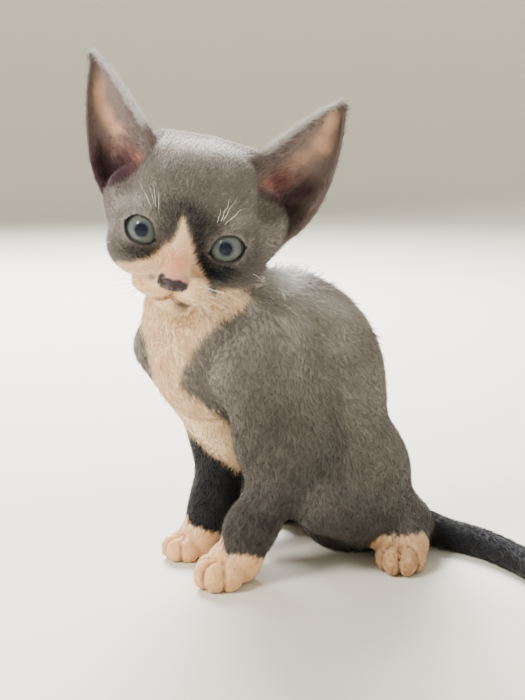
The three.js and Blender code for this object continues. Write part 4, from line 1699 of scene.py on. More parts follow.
@dataclass
class Unwrap:
    """The skin laid out flat, part by part."""

    charts: dict = field(default_factory=all_charts)

    @staticmethod
    def laid_flat(pole: Array, flat: Array) -> Array:
        """Lays a round form out round its pole.

        Args:
            pole: how far each point's direction goes along the pole.
            flat: the other two coordinates of its direction.

        Returns:
            Coordinates from 0 to 1.
        """
        away = np.arccos(np.clip(pole, -1, 1)) / math.pi
        return 0.5 + 0.5 * unit(flat) * away[:, None]

    @staticmethod
    def round_share(out: Array, middle: Array) -> Array:
        """Finds how far points are round an axis.

        Args:
            out: the points' two coordinates from the axis.
            middle: those of the middle of each point's face, so that a face across the seam isn't torn.

        Returns:
            Shares of a whole turn.
        """
        angle = np.arctan2(out[:, 0], out[:, 1])
        turn = np.arctan2(middle[:, 0], middle[:, 1])
        angle = turn + (angle - turn + math.pi) % (2 * math.pi) - math.pi
        return angle / (2 * math.pi) + 0.5

    def of_part(self, name: str, skin: Skin, points: Array, middles: Array, ear_uv: Array) -> Array:
        """Places points in their part's chart.

        Args:
            name: the chart.
            skin: the kitten's skin.
            points: the faces' corners in millimetres.
            middles: the middle of each corner's face.
            ear_uv: places across and along the ear flap.

        Returns:
            Coordinates in the whole map.
        """
        chart = self.charts[name]
        if name == "head":
            out = unit(skin.head.place.inward(points) - np.array([0, 20, 5])) @ turned(0, 37.0)
            return chart.put(self.laid_flat(-out[:, 1], out[:, [0, 2]]))
        if name.startswith("ear"):
            return chart.put(ear_uv * np.array([0.5, 1.0]) + np.array([0.5, 0.0]))
        if name.startswith("paw"):
            out = unit(skin.body.paws[name[4:]].place.inward(points) - np.array([0, 0, 8.0]))
            return chart.put(self.laid_flat(out[:, 2], out[:, :2]))
        if name == "tail":
            tail = np.asarray(skin.body.tail, float)
            outs = []
            for places in (points, middles):
                centre = np.stack([np.interp(places[:, 0], tail[:, 0], tail[:, n]) for n in (2, 1)], axis=1)
                outs.append(places[:, [2, 1]] - centre)
            return chart.put(np.stack([points[:, 0] / 131.0, self.round_share(*outs)], axis=1))
        if name == "trunk":
            low, high, bottom, top = 0.0, 128.0, np.array([0.0, 18.0]), np.array([-6.0, -32.0])
        elif name.startswith("leg_fore"):
            paw = np.array(skin.body.paws[name[4:]].at)
            low, high, bottom, top = 6.0, 100.0, paw + np.array([0, 9.0]), paw * np.array([1.2, 0.4])
        else:
            side = SIDES[name.split("_")[2]]
            low, high, bottom, top = 0.0, 62.0, np.array([side * 22.0, 20.0]), np.array([side * 18.0, 16.0])
        share = (points[:, 2] - low) / (high - low)
        centre = bottom + (top - bottom) * np.clip(share, 0, 1)[:, None]
        outs = [(places[:, :2] - centre) * np.array([1.0, -1.0]) for places in (points, middles)]
        turn = self.round_share(*outs)
        return chart.put(np.stack([turn, share], axis=1))

    def lay(self, skin: Skin, mesh: bpy.types.Mesh, at: Survey) -> None:
        """Writes the map onto the skin's mesh.

        Args:
            skin: the kitten's skin.
            mesh: its mesh.
            at: the survey of its vertices.
        """
        corners = corner_vertices(mesh)
        starts = np.empty(len(mesh.polygons), np.int64)
        mesh.polygons.foreach_get("loop_start", starts)
        totals = np.diff(np.append(starts, len(corners)))
        face = np.repeat(np.arange(len(starts)), totals)
        middles = np.add.reduceat(at.points[corners], starts, axis=0) / totals[:, None]
        label = at.label[corners[starts]]
        ear_side = np.where(at.ear_left[corners[starts]], "left", "right")
        ear_face = np.where(at.ear_inside[corners[starts]], "in", "out")
        label = np.array([f"ear_{s}_{f}" if n == "ear" else n for n, s, f in zip(label, ear_side, ear_face)])
        uv = np.zeros((len(corners), 2))
        for name in self.charts:
            chosen = label[face] == name
            places = at.points[corners[chosen]]
            uv[chosen] = self.of_part(name, skin, places, middles[face[chosen]], at.ear_uv[corners[chosen]])
        layer = mesh.uv_layers.new(name="OFBake")
        layer.data.foreach_set("uv", uv.ravel().astype(np.float32))


# Node graphs


@dataclass(frozen=True)
class Term:
    """A node's output that can be used in a Python expression."""

    graph: Graph
    socket: Any

    def __add__(self, other: Any) -> Term:
        """This plus another."""
        return self.graph.math("ADD", self, other)

    def __radd__(self, other: Any) -> Term:
        """A number plus this."""
        return self.graph.math("ADD", other, self)

    def __sub__(self, other: Any) -> Term:
        """This less another."""
        return self.graph.math("SUBTRACT", self, other)

    def __rsub__(self, other: Any) -> Term:
        """A number less this."""
        return self.graph.math("SUBTRACT", other, self)

    def __mul__(self, other: Any) -> Term:
        """This times another."""
        return self.graph.math("MULTIPLY", self, other)

    def __rmul__(self, other: Any) -> Term:
        """A number times this."""
        return self.graph.math("MULTIPLY", other, self)


class Graph:
    """A tree of nodes, for a material or for geometry."""

    def __init__(self, tree: bpy.types.NodeTree) -> None:
        """Starts on a tree.

        Args:
            tree: the tree that nodes are added to.
        """
        self.tree = tree

    def node(self, kind: str, settings: dict | None = None, inputs: dict | None = None) -> bpy.types.Node:
        """Adds a node.

        Args:
            kind: the node's type.
            settings: its own settings, made before its sockets are used.
            inputs: values or links for its sockets, by name or number.

        Returns:
            The node.
        """
        node = self.tree.nodes.new(kind)
        for name, value in (settings or {}).items():
            setattr(node, name, value)
        for name, value in (inputs or {}).items():
            socket = node.inputs[name]
            if isinstance(value, Term):
                self.tree.links.new(value.socket, socket)
            else:
                socket.default_value = value
        return node

    def term(
        self, kind: str, output: Any = 0, settings: dict | None = None, inputs: dict | None = None
    ) -> Term:
        """Adds a node and gives one of its outputs.

        Args:
            kind: the node's type.
            output: the output's name or number.
            settings: its own settings.
            inputs: values or links for its sockets.

        Returns:
            The output.
        """
        return Term(self, self.node(kind, settings, inputs).outputs[output])

    def math(self, operation: str, *values: Any) -> Term:
        """Arithmetic on numbers."""
        return self.term("ShaderNodeMath", 0, {"operation": operation}, dict(enumerate(values)))

    def vector(self, operation: str, *values: Any) -> Term:
        """Arithmetic on vectors."""
        return self.term("ShaderNodeVectorMath", 0, {"operation": operation}, dict(enumerate(values)))

    def scaled(self, vector: Any, amount: Any) -> Term:
        """A vector times a number."""
        return self.term("ShaderNodeVectorMath", 0, {"operation": "SCALE"}, {0: vector, "Scale": amount})

    def mix(self, share: Any, a: Any, b: Any, blend: str = "MIX") -> Term:
        """A colour between two others."""
        settings = {"data_type": "RGBA", "blend_type": blend}
        return self.term("ShaderNodeMix", 2, settings, {0: share, 6: a, 7: b})

    def shaded(self, colour: Term, light: Term) -> Term:
        """A colour times a number."""
        return self.mix(1.0, colour, self.scaled((1.0, 1.0, 1.0), light), "MULTIPLY")

    def step(self, low: float, high: float, value: Any) -> Term:
        """A smooth step from 0 at low to 1 at high."""
        inputs = {"Value": value, "From Min": low, "From Max": high}
        return self.term("ShaderNodeMapRange", 0, {"interpolation_type": "SMOOTHSTEP"}, inputs)

    def read(self, name: Any, output: str) -> Term:
        """An attribute of the mesh, as a Color or as a Fac."""
        return self.term("ShaderNodeAttribute", output, {"attribute_name": name})

    def noise(self, vector: Any, scale: float, detail: float) -> Term:
        """Soft noise between 0 and 1."""
        return self.term("ShaderNodeTexNoise", 0, None, {"Vector": vector, "Scale": scale, "Detail": detail})


def rgba(colour: Triple) -> tuple:
    """A colour with full cover."""
    return (*colour, 1.0)


@dataclass(frozen=True)
class Finish:
    """A material: its constant properties, and what varies over the surface."""

    name: str
    roughness: float = 0.8
    sheen: float = 0.0
    coat: float = 0.0
    coat_roughness: float = 0.03
    coat_ior: float = 1.5
    specular: float = 0.35

    def varying(self, graph: Graph) -> dict[str, Any]:
        """What the shader's sockets are given besides the constants."""
        raise NotImplementedError

    def make(self) -> bpy.types.Material:
        """Makes the material.

        Returns:
            The material.
        """
        material = bpy.data.materials.new(self.name)
        material.use_nodes = True
        material.node_tree.nodes.clear()
        graph = Graph(material.node_tree)
        shader = graph.node("ShaderNodeBsdfPrincipled", None, {
            "Roughness": self.roughness, "Sheen Weight": self.sheen, "Sheen Roughness": 0.45,
            "Coat Weight": self.coat, "Coat Roughness": self.coat_roughness, "Coat IOR": self.coat_ior,
            "Specular IOR Level": self.specular, **self.varying(graph),
        })
        graph.node("ShaderNodeOutputMaterial", None, {"Surface": Term(graph, shader.outputs[0])})
        return material


@dataclass(frozen=True)
class HairFinish(Finish):
    """Hair, coloured by the markings at its root."""

    def varying(self, graph: Graph) -> dict[str, Any]:
        """The markings' tint."""
        return {"Base Color": graph.read("tint", "Color")}


@dataclass(frozen=True)
class SkinFinish(Finish):
    """The skin: felted under-coat where hair grows, bare and moist elsewhere."""

    felt_scale: float = 1600.0
    pore_scale: float = 2400.0

    def varying(self, graph: Graph) -> dict[str, Any]:
        """Makes the felt and the pores.

        Args:
            graph: the material's nodes.

        Returns:
            Values for the shader's sockets.
        """
        place = graph.term("ShaderNodeTexCoord", "Object")
        tint, bare, moist = graph.read("tint", "Color"), graph.read("bare", "Fac"), graph.read("moist", "Fac")
        felt = graph.noise(place, self.felt_scale, 4.0)
        cells = {"Vector": place, "Scale": self.pore_scale}
        pores = graph.term("ShaderNodeTexVoronoi", "Distance", None, cells)
        shade = 0.70 + 0.42 * felt
        height = felt * (1.0 - bare) + 0.25 * pores * bare
        bump = {"Strength": 0.45, "Distance": 0.0004, "Height": height}
        return {
            "Base Color": graph.shaded(tint, shade + (1.0 - shade) * bare),
            "Roughness": 0.85 - 0.4 * moist,
            "Coat Weight": 0.08 * moist,
            "Normal": graph.term("ShaderNodeBump", 0, None, bump),
        }


@dataclass(frozen=True)
class EyeFinish(Finish):
    """The eyeball, coloured by the distance from the middle of its front, in millimetres."""

    iris: Triple = (0.092, 0.104, 0.090)
    inner: Triple = (0.020, 0.036, 0.062)
    outer: Triple = (0.040, 0.056, 0.054)
    pupil: Triple = (0.0015, 0.003, 0.012)
    ring: Triple = (0.012, 0.014, 0.016)
    # the white of the eye, painted nearly black as painted shade under the lids
    white: Triple = (0.016, 0.011, 0.010)
    iris_radius: float = 6.0
    pupil_radius: float = 2.35
    map_width: float = 20.0  # what the map "front" is wide

    def varying(self, graph: Graph) -> dict[str, Any]:
        """Makes the pupil, the iris with its fibres, and the white round it.

        Args:
            graph: the material's nodes.

        Returns:
            The shader's colour.
        """
        front = graph.term("ShaderNodeUVMap", 0, {"uv_map": "front"})
        out = graph.scaled(graph.vector("SUBTRACT", front, (0.5, 0.5, 0.0)), self.map_width)
        radius = graph.term("ShaderNodeVectorMath", "Value", {"operation": "LENGTH"}, {0: out})
        ray = graph.vector("NORMALIZE", out)
        fibres = graph.noise(graph.vector("ADD", graph.scaled(ray, 4.5), graph.scaled(out, 0.10)), 3.2, 5.0)
        clouds = graph.noise(out, 0.7, 2.0)
        uneven = radius + 0.5 * (fibres - 0.5)
        iris, pupil = self.iris_radius, self.pupil_radius
        colour = graph.mix(graph.step(pupil, pupil + 1.2, uneven), rgba(self.inner), rgba(self.iris))
        colour = graph.mix(graph.step(iris - 1.9, iris - 0.2, uneven), colour, rgba(self.outer))
        colour = graph.shaded(colour, 0.55 + 0.6 * fibres + 0.3 * clouds)
        for low, high, over in (
            (pupil + 0.18, pupil - 0.18, self.pupil), (iris - 0.85, iris - 0.1, self.ring),
            (iris + 0.2, iris + 0.9, self.white),
        ):
            colour = graph.mix(graph.step(low, high, radius), colour, rgba(over))
        return {"Base Color": colour}


@dataclass(frozen=True)
class PlainFinish(Finish):
    """One plain colour."""

    colour: Triple = (0.7, 0.69, 0.67)

    def varying(self, graph: Graph) -> dict[str, Any]:
        """The colour."""
        return {"Base Color": rgba(self.colour)}


# Coat


class Cut(Enum):
    """Kinds of tuft."""

    SHORT = "short"
    LONG = "long"
    SLEEK = "sleek"
    WAVY = "wavy"
    EAR = "ear"


@dataclass(frozen=True)
class Hair:
    """How the hairs of a kind of tuft are made. Lengths along the hair are shares of its reach."""

    count: int
    rings: int  # rings between the root and the tip
    width: float  # in millimetres
    fan: float  # how far the hairs' roots are spread, in millimetres
    splay: float  # how far the tips are spread, as a share of the reach
    bow: float  # how far the middle bows out from the skin
    wave: float  # sideways waves, as a share of the reach
    variants: int = 5


HAIRS = {
    Cut.SHORT: Hair(3, 0, 0.20, 0.55, 0.22, 0.0, 0.0),
    Cut.LONG: Hair(3, 1, 0.23, 0.80, 0.20, 0.10, 0.06),
    Cut.SLEEK: Hair(3, 0, 0.21, 0.75, 0.16, 0.0, 0.0),
    Cut.WAVY: Hair(3, 4, 0.24, 0.70, 0.16, 0.16, 0.13),
    Cut.EAR: Hair(2, 1, 0.13, 0.50, 0.20, 0.10, 0.04),
}


@dataclass
class TuftMaker:
    """Makes small fans of tapering hairs along x, with z away from the skin."""

    flatness: float = 0.45
    reach: float = 4.0  # a hair's usual length beside its breadth, for its splay, waves and bow

    def hair(self, kind: Hair, rng: np.random.Generator, start: int) -> tuple[list, list, list, list]:
        """Makes one hair.

        Args:
            kind: the hair's sizes.
            rng: the tuft's own random numbers.
            start: the number of its first vertex.

        Returns:
            Its vertices, its faces, the share along the hair at each vertex, and each vertex's place on the
            tuft's patch of the map.
        """
        points, tips, spots = [], [], []
        side, back, turn = rng.uniform(-1, 1), rng.uniform(-1, 1), rng.uniform(-1, 1)
        phase = rng.uniform(0, 2 * math.pi)
        length = rng.uniform(0.78, 1.12)
        rings = kind.rings + 1
        for ring in range(rings):
            t = ring / rings
            thick = kind.width / 2 * (1.0 - 0.75 * t**1.5) * (1.0 if ring else 0.8)
            wave = kind.wave * math.sin(t * 7.0 + phase) * t**0.5
            y = side * kind.fan / 2 + (turn * kind.splay * t + wave) * self.reach
            z = kind.bow * self.reach * math.sin(t * math.pi * 0.75) * (1.0 + 0.3 * back) - 0.12
            for corner in range(3):
                angle = 2 * math.pi * corner / 3 + math.pi / 2
                across, up = math.cos(angle), math.sin(angle)
                points.append((t * length + back * 0.06, y + across * thick, z + up * thick * self.flatness))
                tips.append(t)
                spots.append((0.5 + 0.35 * side + 0.12 * across, 0.1 + 0.75 * t + 0.08 * up, 0.0))
        y = side * kind.fan / 2 + (turn * kind.splay + kind.wave * math.sin(7.0 + phase)) * self.reach
        z = kind.bow * self.reach * math.sin(math.pi * 0.75) - 0.05
        points.append((length + back * 0.06, y, z))
        tips.append(1.0)
        spots.append((0.5 + 0.35 * side, 0.98, 0.0))
        last = start + (rings - 1) * 3
        faces = [(start, start + 2, start + 1), *ring_faces(rings, 3, start)]
        faces += [(last + corner, last + (corner + 1) % 3, last + 3) for corner in range(3)]
        return points, faces, tips, spots

    def collection(self, cut: Cut, kind: Hair) -> bpy.types.Collection:
        """Makes the variants of one kind of tuft.

        Args:
            cut: the kind.
            kind: its sizes.

        Returns:
            A collection that isn't linked to the scene.
        """
        group = bpy.data.collections.new(f"tufts_{cut.value}")
        for variant in range(kind.variants):
            rng = np.random.default_rng(100 + 10 * list(Cut).index(cut) + variant)
            points, faces, tips, spots = [], [], [], []
            for _ in range(kind.count):
                hair = self.hair(kind, rng, len(points))
                for whole, part in zip((points, faces, tips, spots), hair):
                    whole += part
            mesh = smooth_mesh(f"tuft_{cut.value}_{variant}", points, faces)
            write(mesh, "tip", tips)
            write(mesh, "spot", spots, "FLOAT_VECTOR")
            group.objects.link(bpy.data.objects.new(mesh.name, mesh))
        return group


@dataclass(frozen=True)
class Tract:
    """One piece of the coat: a stretch of skin, and how thickly which tufts grow on it."""

    name: str
    cut: Cut
    density: float  # tufts on a square millimetre
    seed: int
    longer: float = 1.0  # times the coat's own length
    stray: float = 0.22
    flecks: float = 0.0  # how much paler its palest hairs are


TRACTS = (
    Tract("face", Cut.SHORT, 4.2, 11, flecks=0.09),
    Tract("crown", Cut.SHORT, 2.3, 12, flecks=0.06),
    Tract("ears", Cut.SHORT, 1.9, 13),
    Tract("ear_edges", Cut.EAR, 4.6, 14, 1.45, 0.45),
    Tract("chest", Cut.LONG, 1.2, 15, 1.15),
    Tract("back_left", Cut.SLEEK, 2.2, 16),
    Tract("back_right", Cut.SLEEK, 1.3, 17),
    Tract("forelegs", Cut.SLEEK, 1.3, 18),
    Tract("hindlegs", Cut.SLEEK, 1.55, 19),
    Tract("tail", Cut.SLEEK, 2.0, 20),
    Tract("locks", Cut.WAVY, 0.2, 21, 1.2, 0.4),
    Tract("nape", Cut.WAVY, 0.75, 22, 1.7, 0.6),
)


@dataclass
class Coat:
    """Grows the coat's pieces on the skin with one node group."""

    skin: bpy.types.Object
    material: bpy.types.Material
    patch: float = 0.003  # breadth of a tuft's patch on the map
    groups: dict = field(default_factory=dict)

    def node_group(self) -> bpy.types.GeometryNodeTree:
        """Builds the node group that grows tufts.

        Returns:
            The group, with named inputs.
        """
        tree = bpy.data.node_groups.new("grow_tufts", "GeometryNodeTree")
        sockets = {
            "Geometry": "Geometry", "Density": "Float", "Stretch": "String", "Seed": "Int", "Longer": "Float",
            "Stray": "Float", "Flecks": "Float", "Tufts": "Collection", "Material": "Material",
        }
        for name, kind in sockets.items():
            tree.interface.new_socket(name, in_out="INPUT", socket_type=f"NodeSocket{kind}")
        tree.interface.new_socket("Geometry", in_out="OUTPUT", socket_type="NodeSocketGeometry")
        graph = Graph(tree)
        group_input = graph.node("NodeGroupInput")
        given = {name: Term(graph, socket) for name, socket in zip(sockets, group_input.outputs)}

        def step(kind: str, geometry: Term, settings: dict | None = None, **inputs: Any) -> Term:
            """One more geometry node after a geometry."""
            return graph.term(f"GeometryNode{kind}", 0, settings, {"Geometry": geometry, **inputs})

        def read(name: Any, kind: str = "FLOAT") -> Term:
            """An attribute of the geometry."""
            return graph.term("GeometryNodeInputNamedAttribute", 0, {"data_type": kind}, {"Name": name})

        def chance(low: Any, high: Any, seed: int, kind: str = "FLOAT") -> Term:
            """Draws a random value for each tuft.

            Args:
                low: the least value.
                high: the greatest value.
                seed: another number for each use.
                kind: the value's type.

            Returns:
                The value.
            """
            first, output = {"FLOAT_VECTOR": (0, 0), "FLOAT": (2, 1), "INT": (4, 2)}[kind]
            inputs = {first: low, first + 1: high, "Seed": given["Seed"] * 16.0 + float(seed)}
            return graph.term("FunctionNodeRandomValue", output, {"data_type": kind}, inputs)

        def store(geometry: Term, name: str, value: Any, kind: str, domain: str = "POINT") -> Term:
            """Writes an attribute of that kind."""
            settings = {"data_type": kind, "domain": domain}
            return step("StoreNamedAttribute", geometry, settings, Name=name, Value=value)

        scatter = graph.node("GeometryNodeDistributePointsOnFaces", {"distribute_method": "RANDOM"}, {
            "Mesh": given["Geometry"], "Density": given["Density"] * read(given["Stretch"]) * 1e6,
            "Seed": given["Seed"],
        })
        points = Term(graph, scatter.outputs["Points"])
        normal = Term(graph, scatter.outputs["Normal"])
        stray = graph.scaled(chance((-1, -1, -1), (1, 1, 1), 1, "FLOAT_VECTOR"), given["Stray"])
        lie = graph.vector("ADD", read("lie", "FLOAT_VECTOR"), stray)
        lift = read("lift") * chance(0.5, 1.5, 2)
        ahead = graph.vector("ADD", graph.vector("NORMALIZE", lie), graph.scaled(normal, lift))
        turn = graph.term("FunctionNodeAxesToRotation", 0, {"primary_axis": "X", "secondary_axis": "Z"}, {
            "Primary Axis": ahead, "Secondary Axis": normal,
        })
        reach = read("reach") * given["Longer"] * chance(0.75, 1.2, 3)
        breadth = 0.55 + 0.1 * reach
        size = graph.term("ShaderNodeCombineXYZ", 0, None, {"X": reach, "Y": breadth, "Z": breadth})
        ticked = chance(0.0, 1.0, 4)
        fleck = graph.scaled((1.0, 0.93, 0.85), graph.step(0.80, 1.0, ticked) * given["Flecks"])
        uneven = graph.vector("ADD", graph.scaled(read("tint", "FLOAT_COLOR"), 0.88 + 0.26 * ticked), fleck)
        points = store(points, "tint", uneven, "FLOAT_COLOR")
        points = store(points, "root", read("OFBake", "FLOAT_VECTOR"), "FLOAT_VECTOR")
        tufts = graph.term("GeometryNodeCollectionInfo", 0, None, {
            "Collection": given["Tufts"], "Separate Children": True, "Reset Children": True,
        })
        placed = graph.term("GeometryNodeInstanceOnPoints", 0, None, {
            "Points": points, "Instance": tufts, "Pick Instance": True, "Rotation": turn,
            "Instance Index": chance(0, 99, 5, "INT"), "Scale": graph.scaled(size, MM),
        })
        for name in ("OFBake", "lie", "reach", "lift", "bare", "moist", "grow_*"):
            mode = {"pattern_mode": "WILDCARD"} if "*" in name else {}
            placed = step("RemoveAttribute", placed, mode, Name=name)
        whole = step("RealizeInstances", placed)
        apart = graph.node("ShaderNodeSeparateXYZ", None, {0: graph.term("GeometryNodeInputPosition")})
        x, y, z = (Term(graph, socket) for socket in apart.outputs)
        # hair that would go into the floor lies on it
        above = graph.math("MAXIMUM", z, 0.05 * MM)
        low = graph.term("ShaderNodeCombineXYZ", 0, None, {"X": x, "Y": y, "Z": above})
        whole = step("SetPosition", whole, Position=low)
        # hairs darker at the root than at the tip: painted shade deep in the coat
        root_shaded_tint = graph.scaled(read("tint", "FLOAT_COLOR"), 0.84 + 0.26 * read("tip"))
        whole = store(whole, "tint", root_shaded_tint, "FLOAT_COLOR")
        spot = graph.vector("SUBTRACT", read("spot", "FLOAT_VECTOR"), (0.5, 0.5, 0.0))
        spread = graph.vector("ADD", read("root", "FLOAT_VECTOR"), graph.scaled(spot, self.patch))
        whole = store(whole, "OFBake", spread, "FLOAT2", "CORNER")
        for name in ("root", "spot", "tip"):
            whole = step("RemoveAttribute", whole, Name=name)
        whole = step("SetMaterial", whole, Material=given["Material"])
        graph.node("NodeGroupOutput", None, {0: whole})
        return tree

    def grow(self, tract: Tract, tree: bpy.types.GeometryNodeTree) -> bpy.types.Object:
        """Grows one piece of the coat.

        Args:
            tract: which stretch of skin, and which tufts.
            tree: the node group.

        Returns:
            The piece as a plain mesh.
        """
        if tract.cut not in self.groups:
            self.groups[tract.cut] = TuftMaker().collection(tract.cut, HAIRS[tract.cut])
        host = shown(f"host_{tract.name}", self.skin.data)
        modifier = host.modifiers.new("coat", "NODES")
        modifier.node_group = tree
        given = {
            "Density": tract.density, "Stretch": f"grow_{tract.name}", "Seed": tract.seed,
            "Longer": tract.longer, "Stray": tract.stray, "Flecks": tract.flecks,
            "Tufts": self.groups[tract.cut], "Material": self.material,
        }
        for item in tree.interface.items_tree:
            if item.in_out == "INPUT" and item.name in given:
                modifier[item.identifier] = given[item.name]
        graph = bpy.context.evaluated_depsgraph_get()
        mesh = bpy.data.meshes.new_from_object(host.evaluated_get(graph), depsgraph=graph)
        mesh.name = f"coat_{tract.name}"
        bpy.data.objects.remove(host)
        return shown(mesh.name, mesh)

    def clear(self) -> None:
        """Removes the tufts that the pieces were grown from."""
        for group in self.groups.values():
            for tuft in list(group.objects):
                bpy.data.objects.remove(tuft)
            bpy.data.collections.remove(group)


# Eyes and whiskers


@dataclass
class Eyeball:
    """One eyeball: a sphere with a clear bulge in front, looking along its own axis."""

    fit: EyeFit
    gaze: tuple  # where it looks, as x and z for each unit ahead, in the head's frame
    head: Head
    cornea_radius: float = 5.9
    cornea_forward: float = 3.35  # the cornea's centre ahead of the eyeball's
    cornea_end: float = 1.2  # angle from the middle of the front past which there is no cornea
    map_width: float = 20.0  # what the map "front" is wide
    around: int = 64
    rings: int = 44

    def build(self, name: str, material: bpy.types.Material) -> bpy.types.Object:
        """Builds the eyeball.

        Args:
            name: the object's name.
            material: its material.

        Returns:
            The object, with the map "front" over its face.
        """
        ahead = unit(np.array([[self.gaze[0], -1.0, self.gaze[1]]]))[0]
        side = unit(np.cross(ahead, [[0.0, 0.0, 1.0]]))[0]
        up = np.cross(side, ahead)
        # distance from the centre along the profile, from the middle of the front to the back
        t = np.linspace(0, math.pi, self.rings + 1)
        inside = self.cornea_radius**2 - (self.cornea_forward * np.sin(t)) ** 2
        bulge = self.cornea_forward * np.cos(t) + np.sqrt(np.maximum(inside, 0.0))
        reach = -soften(np.full(len(t), -self.fit.radius), -np.where(t < self.cornea_end, bulge, 0.0), 0.25)
        spread = reach[1:-1, None] * np.ones(self.around)
        forward, out = (wave(t[1:-1, None]) * spread for wave in (np.cos, np.sin))
        a = 2 * math.pi * np.arange(self.around) / self.around
        flat = np.stack([np.cos(a) * out, np.sin(a) * out], axis=-1).reshape(-1, 2)
        points = flat @ np.array([side, up]) + forward.reshape(-1, 1) * ahead
        points = np.concatenate([points, [ahead * reach[0], -ahead * reach[-1]]])
        where = np.concatenate([0.5 + flat / self.map_width, [(0.5, 0.5), (0.5, 0.5)]])
        faces = ring_faces(self.rings - 1, self.around)
        front, back, last = len(points) - 2, len(points) - 1, len(points) - 2 - self.around
        for n in range(self.around):
            m = (n + 1) % self.around
            faces += [(front, m, n), (back, last + n, last + m)]
        ball = piece_of(name, self.head.place.outward(points + self.fit.centre), faces, material)
        layer = ball.data.uv_layers.new(name="front")
        layer.data.foreach_set("uv", where[corner_vertices(ball.data)].astype(np.float32).ravel())
        return ball


@dataclass
class Whiskers:
    """Short crinkled whiskers on the muzzle, the brows and the cheeks, in the head's frame."""

    head: Head
    thickness: float = 0.19
    crimp: float = 0.03  # height of the waves, as a share of the length
    steps: int = 16
    # root, direction and length of each, for one side with x away from the middle
    roots: tuple = (
        ((9.5, -7.0, -15.5), (1.0, -0.25, 0.10), 12.0), ((10.5, -6.0, -17.2), (1.0, -0.15, -0.10), 14.0),
        ((10.0, -6.0, -19.0), (1.0, -0.20, -0.30), 12.0), ((12.5, -4.5, -16.2), (1.0, 0.05, 0.02), 13.0),
        ((12.6, -4.0, -18.4), (1.0, 0.05, -0.22), 12.0), ((8.0, -8.0, -20.2), (0.9, -0.20, -0.55), 10.0),
        ((14.5, -1.8, -17.4), (1.0, 0.25, -0.10), 9.0), ((11.5, -4.0, -20.6), (0.8, 0.0, -0.65), 9.0),
    )
    brows: tuple = (
        ((10.5, 1.0, 10.8), (0.28, -0.42, 0.9), 13.0), ((12.8, 1.4, 10.6), (0.5, -0.4, 0.85), 10.0),
        ((8.6, 1.0, 10.2), (0.08, -0.5, 0.9), 8.0), ((9.7, 1.0, 10.5), (0.18, -0.48, 0.9), 11.0),
        ((11.6, 1.2, 9.4), (0.42, -0.48, 0.85), 8.5), ((24.0, 9.0, -8.0), (0.9, -0.35, -0.1), 7.5),
    )

    def on_skin(self, roots: Array) -> Array:
        """Moves roots onto the head's skin.

        Args:
            roots: places in the head's frame.

        Returns:
            The moved places.
        """
        placed = self.head.place.outward(roots)
        placed = onto_surface(lambda p: self.head.distance(p, 0.0, False), placed, 6, 0.1, math.inf)
        return self.head.place.inward(placed)

    def hair(self, root: Triple, way: Triple, length: float, rng: np.random.Generator) -> tuple[list, list]:
        """One whisker as a thin tapering tube.

        Args:
            root: where it grows.
            way: which way it leaves.
            length: its length.
            rng: random numbers.

        Returns:
            Vertices in the head's frame, and faces.
        """
        ahead = unit(np.array([way], float))[0]
        side = unit(np.cross(ahead, [[0.0, 0.3, 1.0]]))[0]
        up = np.cross(side, ahead)
        phase, waves = rng.uniform(0, 6.28), rng.uniform(1.3, 2.4)
        droop = rng.uniform(0.05, 0.2)
        points = []
        for n in range(self.steps + 1):
            t = n / self.steps
            crimp = self.crimp * length * math.sin(waves * t * 6.28 + phase) * t**0.6
            middle = np.array(root) + ahead * length * t + up * crimp + side * 0.6 * crimp
            middle = middle + np.array([0, 0, -1.0]) * droop * length * t * t
            r = self.thickness / 2 * (1.0 - 0.8 * t)
            for corner in range(4):
                a = math.pi / 2 * corner
                points.append(middle + (side * math.cos(a) + up * math.sin(a)) * r)
        last = self.steps * 4
        ends = [(3, 2, 1, 0), (last, last + 1, last + 2, last + 3)]
        return points, ring_faces(self.steps + 1, 4) + ends

    def build(self, material: bpy.types.Material) -> bpy.types.Object:
        """Builds all whiskers as one object.

        Args:
            material: their material.

        Returns:
            The object.
        """
        rng = np.random.default_rng(5)
        points, faces = [], []
        for side in SIDES.values():
            for root, way, length in (*self.roots, *self.brows):
                flip = np.array([side, 1.0, 1.0])
                reach = length * rng.uniform(0.75, 1.1)
                start = self.on_skin(np.array([root]) * flip)[0]
                more, rings = self.hair(start, np.array(way) * flip, reach, rng)
                faces += [tuple(i + len(points) for i in ring) for ring in rings]
                points += more
        return piece_of("whiskers", self.head.place.outward(np.array(points)), faces, material)


# Stage


@dataclass(frozen=True)
class Lamp:
    """A soft lamp, placed as seen from the camera round the kitten."""

    name: str
    across: float  # to the right, in metres
    toward: float  # towards the camera
    up: float
    wide: float
    power: float
    colour: Triple = (1.0, 1.0, 1.0)


